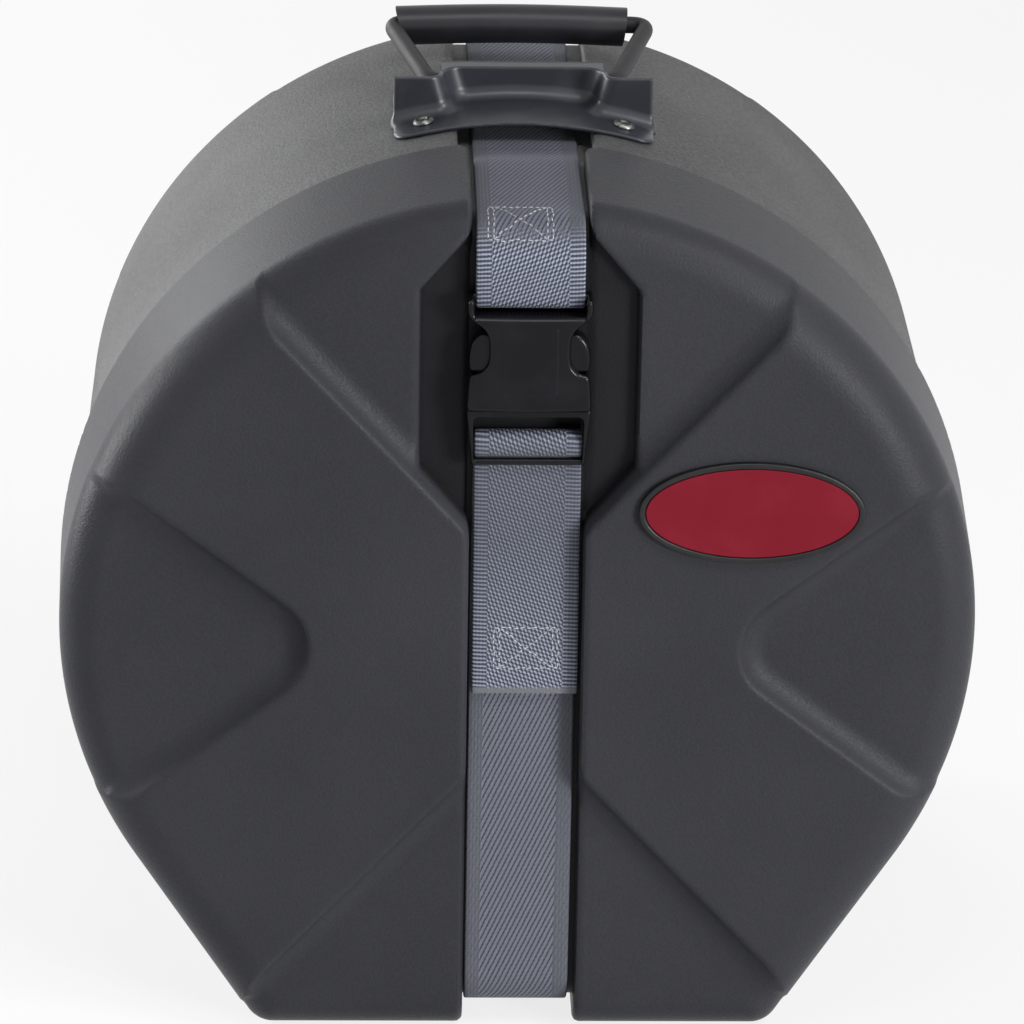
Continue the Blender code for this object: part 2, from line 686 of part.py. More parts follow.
def buckle_plug(material):
    """The male half: a ladder for the strap, with a guide tongue that enters the socket."""
    half = BUCKLE_WIDTH / 2
    low, top = CENTRE_Z + BUCKLE_BOTTOM, CENTRE_Z + PLUG_TOP_Z
    frame = prism(
        "buckle_plug",
        rounded_box_points(MIDDLE_SHIFT - half, MIDDLE_SHIFT + half, low, top, BUCKLE_ROUND),
        "Y",
        BUCKLE_BACK_Y - PLUG_THICKNESS,
        BUCKLE_BACK_Y,
        BUCKLE_ROUND / 2,
    )
    gate = box(
        "gate",
        (MIDDLE_SHIFT - SLOT_HALF, FRONT_Y - OVERRUN, low - OVERRUN),
        (MIDDLE_SHIFT + SLOT_HALF, BUCKLE_BACK_Y + OVERRUN, top - PLUG_HEAD),
    )
    frame = combine(frame, gate, "DIFFERENCE")
    reach = SLOT_HALF + PLUG_RAIL / 2
    left, right = MIDDLE_SHIFT - reach, MIDDLE_SHIFT + reach
    outer = CENTRE_Z + OUTER_BAR_Z
    bar = rod("bar", (left, OUTER_BAR_Y, outer), (right, OUTER_BAR_Y, outer), OUTER_BAR_RADIUS, 12)
    frame = combine(frame, bar, "UNION")
    middle, straight = CENTRE_Z + CENTRE_BAR_Z, CENTRE_BAR_STRAIGHT / 2
    section = turn_path((BAR_Y, middle + straight), BAR_RADIUS, 0, 180, 2 * CORNER_STEPS)
    section += turn_path((BAR_Y, middle - straight), BAR_RADIUS, 180, 360, 2 * CORNER_STEPS)
    frame = combine(frame, prism("bar", section, "X", left, right), "UNION")
    depth = (FRONT_Y + BUCKLE_BACK_Y) / 2
    tongue = box(
        "tongue",
        (MIDDLE_SHIFT - TONGUE_WIDTH / 2, depth - TONGUE_THICKNESS / 2, top - PLUG_HEAD / 2),
        (MIDDLE_SHIFT + TONGUE_WIDTH / 2, depth + TONGUE_THICKNESS / 2, top + TONGUE_LENGTH),
    )
    frame = combine(frame, tongue, "UNION")
    return dress(frame, material, math.radians(40))


def buckle_prong(name, side, material):
    """A springy latch arm: round at its root, with a wide shoulder that fills a side window."""
    sill = SPLIT_Z + WINDOW_SILL + GAP
    head = sill + WINDOW_HEIGHT - 2 * GAP - BUCKLE_ROUND
    inner, outer = PRONG_INNER, PRONG_INNER + PRONG_ARM
    shoulder = BUCKLE_WIDTH / 2 - BUCKLE_ROUND / 2
    bulge = (shoulder - inner) / 3
    root = (inner + PRONG_ARM / 2, PRONG_ROOT_Z)
    points = turn_path(root, PRONG_ARM / 2, 180, 360, 2 * CORNER_STEPS)
    points += [(outer, sill), (shoulder, sill), (shoulder, head - 2 * bulge)]
    points += turn_path((shoulder - bulge, head - bulge), bulge, 0, 90, CORNER_STEPS)
    points.append((inner, head - bulge))
    outline = [(MIDDLE_SHIFT + side * x, CENTRE_Z + z) for x, z in points]
    depth = (FRONT_Y + BUCKLE_BACK_Y) / 2
    prong = prism(name, outline, "Y", depth - PRONG_THICKNESS / 2, depth + PRONG_THICKNESS / 2,
                  BUCKLE_ROUND / 4)
    return dress(prong, material, math.radians(40))


def sector(name, inner, outer, start, end, front, back, steps):
    """Part of a thick cylinder about the drum circle's axis."""
    points = arc((0, CENTRE_Z), outer, start, end, steps)
    points += arc((0, CENTRE_Z), inner, end, start, steps)
    return prism(name, points, "Y", front, back)


def smooth_step(share):
    """An ease from 0 to 1 with level ends."""
    return (1 - math.cos(math.pi * share)) / 2


def bracket_wall_points():
    """The front wall in plan: forward wings, S bends and a middle set back, one sheet thick."""
    half = BRACKET_WIDTH / 2
    bend_from = TUNNEL_WIDTH / 2 + BRACKET_CORNER
    bend_to = TUNNEL_WIDTH / 2 - BRACKET_CORNER / 2
    steps = [step / BEND_STEPS for step in range(BEND_STEPS + 1)]
    line = [(half, WING_Y)]
    line += [
        (bend_from + (bend_to - bend_from) * share, WING_Y + TUNNEL_SETBACK * smooth_step(share))
        for share in steps
    ]
    line += [(-x, y) for x, y in reversed(line)]
    sheet = BRACKET_SHEET
    slant = sheet * math.tan(math.pi / 8)
    behind = []
    for x, y in line:
        share = (y - WING_Y) / TUNNEL_SETBACK
        lean = slant * math.sin(math.pi * share) * math.copysign(1, x)
        behind.append((x + lean, y + sheet))
    return [(MIDDLE_SHIFT + x, y) for x, y in line + behind[::-1]]


def handle_bracket(material):
    """A stamped plate that follows the case, with wings, a front wall and a tunnel for the rod."""
    half = BRACKET_WIDTH / 2
    back = BRACKET_Y + BRACKET_LENGTH
    spread = math.asin((half + MIDDLE_SHIFT + OVERRUN) / PLATE_RADIUS)
    plate = sector("handle_bracket", PLATE_RADIUS, PLATE_TOP, math.pi / 2 - spread,
                   math.pi / 2 + spread, BRACKET_Y - OVERRUN, back + OVERRUN, 2 * PAD_STEPS)
    corners = rounded_box_points(MIDDLE_SHIFT - half, MIDDLE_SHIFT + half, BRACKET_Y, back,
                                 BRACKET_CORNER)
    trim = prism("trim", corners, "Z", CENTRE_Z, CENTRE_Z + LID_RADIUS + BRACKET_WIDTH)
    plate = combine(plate, trim, "INTERSECT")
    wall = prism("wall", bracket_wall_points(), "Z", CENTRE_Z + PLATE_RADIUS / 2,
                 CENTRE_Z + WALL_TOP)
    wall = combine(wall, under_plate(), "DIFFERENCE")
    plate = combine(plate, wall, "UNION")
    plate = combine(plate, bracket_tunnel(), "UNION")
    return dress(plate, material, math.radians(35))


def under_plate():
    """The space below the bracket's plate, to half the sheet's thickness."""
    radius = PLATE_RADIUS + BRACKET_SHEET / 2
    points = arc((0, CENTRE_Z), radius, 0, 2 * math.pi, 4 * ARC_STEPS)[:-1]
    return prism("under", points, "Y", BRACKET_Y - OVERRUN, BRACKET_Y + CASE_DEPTH)


def bracket_tunnel():
    """The raised middle of the bracket that the bail's ends turn in."""
    sheet = BRACKET_SHEET
    front, back = TUNNEL_Y, TUNNEL_Y + TUNNEL_LENGTH
    top, low = CENTRE_Z + WALL_TOP, CENTRE_Z + PLATE_RADIUS - BRACKET_WIDTH / 2
    half = TUNNEL_WIDTH / 2
    drop_z = TUNNEL_FALL
    outside = [(front, low), (front, top), (back - drop_z, top - drop_z), (back, top - 2 * drop_z)]
    outside.append((back, low))
    inside = [(back - sheet, low - OVERRUN), (back - sheet, top - 2 * drop_z)]
    inside += [(back - drop_z - sheet, top - drop_z - sheet), (front + sheet, top - sheet)]
    inside.append((front + sheet, low - OVERRUN))
    tunnel = prism("tunnel", outside, "X", MIDDLE_SHIFT - half, MIDDLE_SHIFT + half)
    past = half + OVERRUN
    hollow = prism("hollow", inside, "X", MIDDLE_SHIFT - past, MIDDLE_SHIFT + past)
    tunnel = combine(tunnel, hollow, "DIFFERENCE")
    return combine(tunnel, under_plate(), "DIFFERENCE")


def tube(name, points, radius, material, sides=3):
    """A round wire along points, as a bevelled curve made a mesh."""
    curve = bpy.data.curves.new(name, "CURVE")
    curve.dimensions = "3D"
    curve.bevel_depth = radius
    curve.bevel_resolution = sides
    curve.use_fill_caps = True
    spline = curve.splines.new("POLY")
    spline.points.add(len(points) - 1)
    for point, place in zip(spline.points, points):
        point.co = (*place, 1)
    drawn = bpy.data.objects.new(name, curve)
    bpy.context.scene.collection.objects.link(drawn)
    bpy.context.view_layer.update()
    evaluated = drawn.evaluated_get(bpy.context.evaluated_depsgraph_get())
    mesh = bpy.data.meshes.new_from_object(evaluated)
    bpy.data.objects.remove(drawn, do_unlink=True)
    shape = bmesh.new()
    shape.from_mesh(mesh)
    return dress(from_bmesh(name, shape), material, math.radians(40))


def rounded_path(corners, radius, steps):
    """A path through corners, each rounded by a smooth bend that starts a radius before it."""
    path = [Vector(corners[0])]
    for before, here, after in zip(corners, corners[1:], corners[2:]):
        before, here, after = Vector(before), Vector(here), Vector(after)
        start = here + (before - here).normalized() * radius
        end = here + (after - here).normalized() * radius
        for step in range(steps + 1):
            share = step / steps
            path.append(start.lerp(here, share).lerp(here.lerp(end, share), share))
    path.append(Vector(corners[-1]))
    return path


def bail_frame(local):
    """A place in the bail's own plane, across and out from the pivot, as a world point."""
    across, out = local
    return (
        MIDDLE_SHIFT + across,
        PIVOT_Y + out * math.cos(BAIL_REST),
        PIVOT_Z + out * math.sin(BAIL_REST),
    )


def bail_rod(material):
    """The bent rod: stubs in the tunnel, legs that lean outwards and a bar through the grip."""
    pivot, half = PIVOT_WIDTH / 2, BAIL_WIDTH / 2
    corners = [(pivot - BAIL_STUB, 0), (pivot, 0), (half, BAIL_LENGTH)]
    corners += [(-x, y) for x, y in reversed(corners)]
    path = rounded_path([bail_frame(point) for point in corners], ROD_BEND, BEND_STEPS)
    return tube("bail_rod", path, ROD_RADIUS, material)


def bail_grip(material):
    """The moulded grip round the bail's bar."""
    half = GRIP_LENGTH / 2
    _, y, z = bail_frame((0, BAIL_LENGTH))
    ends = [(MIDDLE_SHIFT + side * half, y, z) for side in (-1, 1)]
    grip = rod("grip", *ends, GRIP_RADIUS, 24)
    ends = [(MIDDLE_SHIFT + side * half * 2, y, z) for side in (-1, 1)]
    grip = combine(grip, rod("bore", *ends, ROD_RADIUS + GAP, 24), "DIFFERENCE")
    return dress(grip, material, math.radians(40))


def rivet_places():
    """Where the four rivets stand: their angle round the case and their place in depth."""
    back = BRACKET_Y + BRACKET_LENGTH - RIVET_BACK_INSET
    return [
        (name, math.acos((MIDDLE_SHIFT + side * RIVET_SPACING / 2) / BASE_RADIUS), y)
        for name, side, y in (
            ("front_left", -1, BRACKET_Y + RIVET_FRONT_INSET),
            ("front_right", 1, BRACKET_Y + RIVET_FRONT_INSET),
            ("rear_left", -1, back),
            ("rear_right", 1, back),
        )
    ]


def turned(name, profile, angle, y, material):
    """A profile of radius and height turned about a line from the drum's axis."""
    curve = bpy.data.meshes.new(name)
    shape = bmesh.new()
    verts = [shape.verts.new((radius, 0, height)) for radius, height in profile]
    for one, two in zip(verts, verts[1:]):
        shape.edges.new((one, two))
    shape.to_mesh(curve)
    shape.free()
    piece = mesh_object(name, curve)
    spin = piece.modifiers.new("turn", "SCREW")
    spin.axis = "Z"
    spin.steps = spin.render_steps = 16
    spin.use_merge_vertices = True
    spin.merge_threshold = WELD
    bpy.context.view_layer.update()
    evaluated = piece.evaluated_get(bpy.context.evaluated_depsgraph_get())
    mesh = bpy.data.meshes.new_from_object(evaluated)
    bpy.data.objects.remove(piece, do_unlink=True)
    shape = bmesh.new()
    shape.from_mesh(mesh)
    lean = Matrix.Rotation(math.pi / 2 - angle, 4, "Y")
    place = Matrix.Translation((0, y, CENTRE_Z)) @ lean
    bmesh.ops.transform(shape, verts=shape.verts, matrix=place)
    return dress(from_bmesh(name, shape), material, math.radians(40))


def rivet(name, angle, y, material):
    """A dome-headed rivet whose shank ends under its washer."""
    seat = PLATE_TOP + GAP
    end = INNER_RADIUS - GAP - WASHER_THICKNESS
    dome = [
        (RIVET_HEAD_RADIUS * math.sin(t), seat + RIVET_HEAD_HEIGHT * math.cos(t))
        for t in (0, math.pi / 6, math.pi / 3, math.pi / 2)
    ]
    profile = dome + [(RIVET_RADIUS, seat), (RIVET_RADIUS, end), (0, end)]
    return turned(f"rivet_{name}", profile, angle, y, material)


def washer(name, angle, y, material):
    """The washer under a rivet, inside the base."""
    top = INNER_RADIUS - GAP - WASHER_RADIUS * WASHER_RADIUS / (2 * INNER_RADIUS)
    low = top - WASHER_THICKNESS
    bore = RIVET_RADIUS + GAP
    profile = [(bore, top), (WASHER_RADIUS, top), (WASHER_RADIUS, low), (bore, low), (bore, top)]
    return turned(f"washer_{name}", profile, angle, y, material)


def drill_rivets(bracket, base):
    """Bore the rivets' holes through the bracket and the base."""
    for _, angle, y in rivet_places():
        for piece in (bracket, base):
            start = Vector((0, y, CENTRE_Z))
            along = Vector((math.cos(angle), 0, math.sin(angle)))
            bore = rod("bore", start + along * (INNER_RADIUS - OVERRUN),
                       start + along * (PLATE_TOP + OVERRUN), RIVET_RADIUS + GAP, 12)
            combine(piece, bore, "DIFFERENCE")


def ellipse(width, height, steps=40):
    """An upright oval about the badge place's middle."""
    turns = [2 * math.pi * step / steps for step in range(steps)]
    return [
        (MIDDLE_SHIFT + BADGE_X + width / 2 * math.cos(t),
         CENTRE_Z + BADGE_Z + height / 2 * math.sin(t))
        for t in turns
    ]


def badge(bezel_material, insert_material):
    """A plain oval plate in a raised bezel."""
    back = FACE_Y - GAP
    front = back - BADGE_THICKNESS
    bezel = prism("badge_bezel", ellipse(BADGE_WIDTH, BADGE_HEIGHT), "Y", front, back)
    rim = 2 * BADGE_RIM
    sink = prism("sink", ellipse(BADGE_WIDTH - rim, BADGE_HEIGHT - rim), "Y",
                 front - OVERRUN, back - BADGE_FLOOR)
    bezel = combine(bezel, sink, "DIFFERENCE")
    rim += 2 * GAP
    insert = prism("badge_insert", ellipse(BADGE_WIDTH - rim, BADGE_HEIGHT - rim), "Y",
                   front + GAP, back - BADGE_FLOOR - GAP)
    return dress(bezel, bezel_material), dress(insert, insert_material)


def end_pad(name, low, high, material):
    """A foam disc against an end wall, clear of the strap channel's floor."""
    radius = BASE_TOP_FLOOR - CHANNEL_BEND - PAD_MARGIN
    bottom = BASE_BOTTOM_FLOOR - CHANNEL_BEND - PAD_MARGIN
    outline = [(x, CENTRE_Z + z) for x, z in case_outline(radius, bottom, CORNER_RADIUS, 30)]
    return dress(prism(name, outline, "Y", low, high), material)


def wall_pads(material):
    """Foam along both sides of the base, and two strips on its floor."""
    front, back = NECK_Y + PAD_END_MARGIN, BACK_Y - RIM_RADIUS - PAD_END_MARGIN
    outer = INNER_RADIUS - GAP
    for name, start, end in (
        ("side_pad_right", SIDE_PAD_FROM, SIDE_PAD_TO),
        ("side_pad_left", math.pi - SIDE_PAD_TO, math.pi - SIDE_PAD_FROM),
    ):
        points = arc((0, CENTRE_Z), outer * math.cos(math.pi / ARC_STEPS), start, end, PAD_STEPS)
        points += arc((0, CENTRE_Z), outer - SIDE_PAD_THICKNESS, end, start, PAD_STEPS)
        dress(prism(name, points, "Y", front, back), material)
    floor = CENTRE_Z - BASE_BOTTOM + WALL + GAP
    inner = BASE_CHANNEL_WIDTH / 2 + WALL + GAP + FOOT_MARGIN
    outer_x = flat_half(INNER_RADIUS, BASE_BOTTOM - WALL, CORNER_RADIUS) - FLOOR_PAD_MARGIN
    for name, side in (("floor_pad_right", 1), ("floor_pad_left", -1)):
        near, far = MIDDLE_SHIFT + side * inner, MIDDLE_SHIFT + side * outer_x
        pad = box(name, (min(near, far), front, floor),
                  (max(near, far), back, floor + SIDE_PAD_THICKNESS))
        dress(pad, material)


def foam(material):
    """The lining: strips round the base, a disc at its back, and the lid's disc, returned."""
    start = FACE_FLOOR_Y + WALL + GAP
    lid_pad = end_pad("lid_face_pad", start, start + PAD_THICKNESS, material)
    end = BACK_FLOOR_Y - WALL - GAP
    end_pad("base_back_pad", end - PAD_THICKNESS, end, material)
    wall_pads(material)
    return lid_pad


def hang(name, place, pieces, carrier=None):
    """An empty on the axis that pieces move about, which carries them where they are."""
    axis = bpy.data.objects.new(name, None)
    axis.empty_display_size = PRONG_ARM
    part_collection().objects.link(axis)
    axis.location = place
    for piece in pieces:
        piece.parent = axis
        piece.matrix_parent_inverse = Matrix.Translation(place).inverted()
    if carrier is not None:
        axis.parent = carrier
        axis.matrix_parent_inverse = Matrix.Translation(carrier.location).inverted()
    return axis


def build():
    """Make every piece of the case."""
    clear_scene()
    shell = finish("pebbled_shell", (0.050, 0.050, 0.053), 0.62)
    webbing = finish("grey_webbing", (0.165, 0.175, 0.205), 0.85)
    acetal = finish("black_buckle", (0.018, 0.018, 0.020), 0.38)
    steel = finish("black_steel", (0.020, 0.020, 0.023), 0.42, 0.25)
    rubber = finish("grip_vinyl", (0.014, 0.014, 0.016), 0.48)
    zinc = finish("rivet_steel", (0.30, 0.30, 0.30), 0.40, 1.0)
    red = finish("badge_red", (0.27, 0.045, 0.065), 0.45)
    bezel = finish("badge_black", (0.022, 0.022, 0.024), 0.45)
    lining = finish("lining_foam", (0.055, 0.055, 0.058), 0.95)

    lid = lid_shell(shell)
    base = base_shell(shell)
    bracket = handle_bracket(steel)
    drill_rivets(bracket, base)
    for place in rivet_places():
        rivet(*place, zinc)
        washer(*place, zinc)
    base_strap(webbing)
    strap_stretches(webbing)
    hang("bail_hinge", (MIDDLE_SHIFT, PIVOT_Y, PIVOT_Z), [bail_rod(steel), bail_grip(rubber)])
    buckle = [buckle_socket(acetal), buckle_plug(acetal)]
    straps = [upper_strap(webbing), lower_strap(webbing)]
    carried = [lid, foam(lining), *badge(bezel, red), *straps, *buckle]
    slide = hang("lid_slide", (0, LID_EDGE_Y, CENTRE_Z), carried)
    for name, side in (("right", 1), ("left", -1)):
        across = MIDDLE_SHIFT + side * (PRONG_INNER + PRONG_ARM / 2)
        root = (across, (FRONT_Y + BUCKLE_BACK_Y) / 2, CENTRE_Z + PRONG_ROOT_Z)
        prong = buckle_prong(f"prong_{name}", side, acetal)
        hang(f"{name}_latch_squeeze", root, [prong], slide)


build()
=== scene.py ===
"""A round two-piece drum case: telescoping lid, strap, side-release buckle and bail handle."""
import logging
import math
from dataclasses import dataclass
from enum import Enum
from typing import Any, Callable, Sequence

import bpy
import numpy as np
from mathutils import Matrix, Vector


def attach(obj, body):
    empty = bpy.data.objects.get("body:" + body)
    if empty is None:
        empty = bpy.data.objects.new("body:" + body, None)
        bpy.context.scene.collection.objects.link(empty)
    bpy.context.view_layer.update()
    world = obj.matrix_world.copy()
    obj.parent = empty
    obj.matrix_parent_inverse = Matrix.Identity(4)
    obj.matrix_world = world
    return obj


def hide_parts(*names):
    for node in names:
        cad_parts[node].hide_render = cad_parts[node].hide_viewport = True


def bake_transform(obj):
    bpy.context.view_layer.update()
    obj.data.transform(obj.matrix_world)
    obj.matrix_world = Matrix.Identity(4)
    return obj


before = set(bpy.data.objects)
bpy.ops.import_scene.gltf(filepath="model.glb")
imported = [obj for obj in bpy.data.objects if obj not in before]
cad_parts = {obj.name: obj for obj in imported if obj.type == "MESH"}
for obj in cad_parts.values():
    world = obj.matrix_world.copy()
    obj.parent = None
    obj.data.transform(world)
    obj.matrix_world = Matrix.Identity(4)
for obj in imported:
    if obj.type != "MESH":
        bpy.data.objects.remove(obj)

Array = np.ndarray
Field = Callable[[Array, Array, Array], Array]
Colour = tuple[float, float, float]
Point = tuple[float, float, float]

log = logging.getLogger("drum_case")

FACE = -0.151
BACK = 0.154
CENTRE = 0.200
SHIFT = 0.0024
FIT = 0.0003


class Body(Enum):
    """The moving bodies that pieces ride on."""

    BASE = "base"
    LID = "lid"
    BAIL = "bail"
    LATCH_LEFT = "latch_left"
    LATCH_RIGHT = "latch_right"


class Slot(Enum):
    """The record's material slots."""

    SHELL = "shell"
    STEEL = "steel"
    GRIP = "grip"
    RIVET = "rivet"
    WEBBING = "webbing"
    BUCKLE = "buckle"
    BEZEL = "bezel"
    BADGE = "badge"
    FOAM = "foam"


def mount(
    made: bpy.types.Object,
    finish: bpy.types.Material,
    body: Body | None,
    stands_for: Sequence[str] = (),
) -> bpy.types.Object:
    """Give a piece its finish, its body and the CAD nodes that it stands for.

    Args:
        made: The piece.
        finish: Its material.
        body: What it rides on, or None to ride on no body.
        stands_for: Names of CAD nodes.

    Returns:
        The piece.
    """
    made.data.materials.append(finish)
    if body is not None:
        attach(made, body.value)
    if stands_for:
        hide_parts(*stands_for)
    log.info("%s: %d faces", made.name, len(made.data.polygons))
    return made


# Shader graphs


class Value:
    """A shader socket that can be used in Python expressions."""

    def __init__(self, graph: "Tree", socket: bpy.types.NodeSocket) -> None:
        """Wrap an output socket.

        Args:
            graph: The tree that the socket's node stands in.
            socket: The output socket.
        """
        self.graph = graph
        self.socket = socket

    def _math(self, operation: str, first: Any, second: Any) -> "Value":
        """Add one Math node for an operation on two values."""
        return self.graph.add("ShaderNodeMath", {"operation": operation}, {0: first, 1: second})

    def __add__(self, other: Any) -> "Value":
        """Sum."""
        return self._math("ADD", self, other)

    __radd__ = __add__

    def __sub__(self, other: Any) -> "Value":
        """Difference."""
        return self._math("SUBTRACT", self, other)

    def __rsub__(self, other: Any) -> "Value":
        """Difference with a number on the left."""
        return self._math("SUBTRACT", other, self)

    def __mul__(self, other: Any) -> "Value":
        """Product."""
        return self._math("MULTIPLY", self, other)

    __rmul__ = __mul__

    def apply(self, operation: str) -> "Value":
        """Apply a Math node of one operand, such as SINE or ABSOLUTE."""
        return self.graph.add("ShaderNodeMath", {"operation": operation}, {0: self})

    def wave(self, period: float) -> "Value":
        """A sine of a period, scaled to between 0 and 1."""
        return (self * (2 * math.pi / period)).apply("SINE") * 0.5 + 0.5

    def ease(self, low: float, high: float) -> "Value":
        """Smooth step from 0 at low to 1 at high.

        Args:
            low: Where it is 0.
            high: Where it is 1.

        Returns:
            The eased value.
        """
        return self.graph.add(
            "ShaderNodeMapRange",
            {"interpolation_type": "SMOOTHSTEP"},
            {"Value": self, "From Min": low, "From Max": high},
        )


class Tree:
    """A node tree, built by expressions."""

    def __init__(self, tree: bpy.types.NodeTree) -> None:
        """Wrap a node tree.

        Args:
            tree: The tree of a material or a world.
        """
        self.tree = tree

    def add(
        self,
        kind: str,
        settings: dict[str, Any] | None = None,
        inputs: dict[int | str, Any] | None = None,
        output: int | str = 0,
    ) -> Value:
        """Add a node, set its settings, then fill its sockets.

        Args:
            kind: The node's type.
            settings: Properties of the node, such as a Math node's operation.
            inputs: Values or links by socket name or number.
            output: The output to return.

        Returns:
            The chosen output.
        """
        node = self.tree.nodes.new(kind)
        for name, value in (settings or {}).items():
            setattr(node, name, value)
        for name, value in (inputs or {}).items():
            self.put(node.inputs[name], value)
        return Value(self, node.outputs[output])

    def put(self, socket: bpy.types.NodeSocket, value: Any) -> None:
        """Link a value into a socket, or set it there.

        Args:
            socket: The input socket.
            value: A value, number or colour.
        """
        if isinstance(value, Value):
            self.tree.links.new(value.socket, socket)
        elif isinstance(value, tuple) and socket.type == "RGBA" and len(value) == 3:
            socket.default_value = (*value, 1.0)
        else:
            socket.default_value = value

class Graph(Tree):
    """A material's node tree."""

    def __init__(self, name: str) -> None:
        """Start a material with a Principled shader.

        Args:
            name: The material's name.
        """
        self.material = bpy.data.materials.new(name)
        self.material.use_nodes = True
        super().__init__(self.material.node_tree)
        self.shader = self.tree.nodes["Principled BSDF"]

    def set(self, **inputs: Any) -> bpy.types.Material:
        """Fill the Principled shader's sockets, with _ for each space in a name.

        Returns:
            The material.
        """
        for name, value in inputs.items():
            self.put(self.shader.inputs[name.replace("_", " ")], value)
        return self.material

    def place(self) -> Value:
        """Object coordinates."""
        return self.add("ShaderNodeTexCoord", output="Object")

    def attribute(self, name: str) -> Value:
        """The piece's own number at each point."""
        return self.add("ShaderNodeAttribute", {"attribute_name": name}, output="Fac")

    def split(self, vector: Value) -> tuple[Value, Value, Value]:
        """The three parts of a vector."""
        first = self.add("ShaderNodeSeparateXYZ", {}, {0: vector})
        return tuple(Value(self, socket) for socket in first.socket.node.outputs)

    def stretch(self, vector: Value, scale: Point) -> Value:
        """A vector times a scale on each axis."""
        return self.add("ShaderNodeVectorMath", {"operation": "MULTIPLY"}, {0: vector, 1: scale})

    def noise(self, vector: Value, scale: float, detail: float = 3.0, rough: float = 0.5) -> Value:
        """Fractal noise between 0 and 1."""
        inputs = {"Vector": vector, "Scale": scale, "Detail": detail, "Roughness": rough}
        return self.add("ShaderNodeTexNoise", {}, inputs)

    def mix(self, share: Any, first: Any, second: Any) -> Value:
        """Blend two colours.

        Args:
            share: How much of the second.
            first: Colour at share 0.
            second: Colour at share 1.

        Returns:
            The colour.
        """
        return self.add(
            "ShaderNodeMix", {"data_type": "RGBA"}, {0: share, 6: first, 7: second}, output=2
        )

    def bump(self, height: Value, distance: float) -> Value:
        """A normal from a height, whose 1 stands the distance proud."""
        return self.add("ShaderNodeBump", {}, {"Height": height, "Distance": distance})


@dataclass(frozen=True)
class PebbledPlastic:
    """Moulded polyethylene: dull, with a fine pebble and faint cloudiness.

    Where the attribute hollow is 1 the colour is painted shade, near black, standing for the shade
    deep in the pocket and the channel.
    """

    name: str
    colour: Colour
    worn: Colour
    roughness: float = 0.38
    gloss: float = 0.085
    bloom: float = 0.0
    pebble_scale: float = 800.0
    pebble_depth: float = 0.00030
    painted_shade_colour: Colour = (0.007, 0.007, 0.008)
    painted_shade_share: float = 0.75

    def make(self) -> bpy.types.Material:
        """Pebble from two noises, which also tints the high spots and the clouds.

        Returns:
            The material.
        """
        graph = Graph(self.name)
        place = graph.place()
        cloud = graph.noise(place, 9.0, 4.0)
        pebble = graph.noise(place, self.pebble_scale, 2.0, 0.55)
        speck = graph.noise(place, self.pebble_scale * 2.3, 1.0)
        height = pebble * 0.7 + speck * 0.3
        tint = cloud.ease(0.35, 0.7) * 0.5 + height.ease(0.4, 0.65) * 0.5
        scuffed = graph.mix(tint, self.colour, self.worn)
        return graph.set(
            # Painted shade: the colour turns near black as the attribute hollow rises, deep in the
            # recesses.
            Base_Color=graph.mix(graph.attribute("hollow") * self.painted_shade_share, scuffed, self.painted_shade_colour),
            Roughness=self.roughness + (cloud - 0.5) * 0.10 - (height - 0.5) * 0.20,
            Specular_IOR_Level=self.gloss,
            Sheen_Weight=self.bloom,
            Sheen_Roughness=0.4,
            Normal=graph.bump(height, self.pebble_depth),
        )


@dataclass(frozen=True)
class Moulded:
    """Smooth moulded plastic or vinyl with a faint orange peel and a few dull patches."""

    name: str
    colour: Colour
    worn: Colour
    roughness: float
    grain: float = 900.0
    depth: float = 0.00002
    gloss: float = 0.35

    def make(self) -> bpy.types.Material:
        """Colour and roughness drift with one noise, and a fine one gives the skin.

        Returns:
            The material.
        """
        graph = Graph(self.name)
        place = graph.place()
        drift = graph.noise(place, 45.0, 4.0)
        skin = graph.noise(place, self.grain, 2.0)
        return graph.set(
            Base_Color=graph.mix(drift.ease(0.4, 0.75), self.colour, self.worn),
            Roughness=self.roughness + (drift - 0.5) * 0.16 + (skin - 0.5) * 0.06,
            Specular_IOR_Level=self.gloss,
            Normal=graph.bump(skin, self.depth),
        )


@dataclass(frozen=True)
class CoatedSteel:
    """Satin black coated sheet: smooth, with a soft gloss and dust in its skin."""

    name: str = "coated_steel"
    colour: Colour = (0.018, 0.020, 0.027)
    dusty: Colour = (0.032, 0.034, 0.043)
    roughness: float = 0.37
    gloss: float = 0.40
    coat: float = 0.08

    def make(self) -> bpy.types.Material:
        """A black coat whose roughness and colour drift slightly.

        Returns:
            The material.
        """
        graph = Graph(self.name)
        place = graph.place()
        drift = graph.noise(place, 60.0, 5.0)
        skin = graph.noise(place, 1400.0, 2.0)
        return graph.set(
            Base_Color=graph.mix(drift.ease(0.45, 0.8), self.colour, self.dusty),
            Roughness=self.roughness + (drift - 0.5) * 0.14,
            Specular_IOR_Level=self.gloss,
            Coat_Weight=self.coat,
            Coat_Roughness=0.22,
            Normal=graph.bump(skin, 0.000012),
        )


@dataclass(frozen=True)
class PlatedSteel:
    """Zinc plate: bright and slightly cloudy, with tool marks."""

    colour: Colour = (0.24, 0.24, 0.235)
    dull: Colour = (0.07, 0.07, 0.07)

    def make(self) -> bpy.types.Material:
        """Bright metal whose clouds dull it.

        Returns:
            The material.
        """
        graph = Graph("plated_steel")
        place = graph.place()
        cloud = graph.noise(place, 500.0, 3.0)
        return graph.set(
            Base_Color=graph.mix(cloud.ease(0.3, 0.6), self.colour, self.dull),
            Metallic=1.0,
            Roughness=0.36 + cloud * 0.2,
            Normal=graph.bump(cloud, 0.00003),
        )


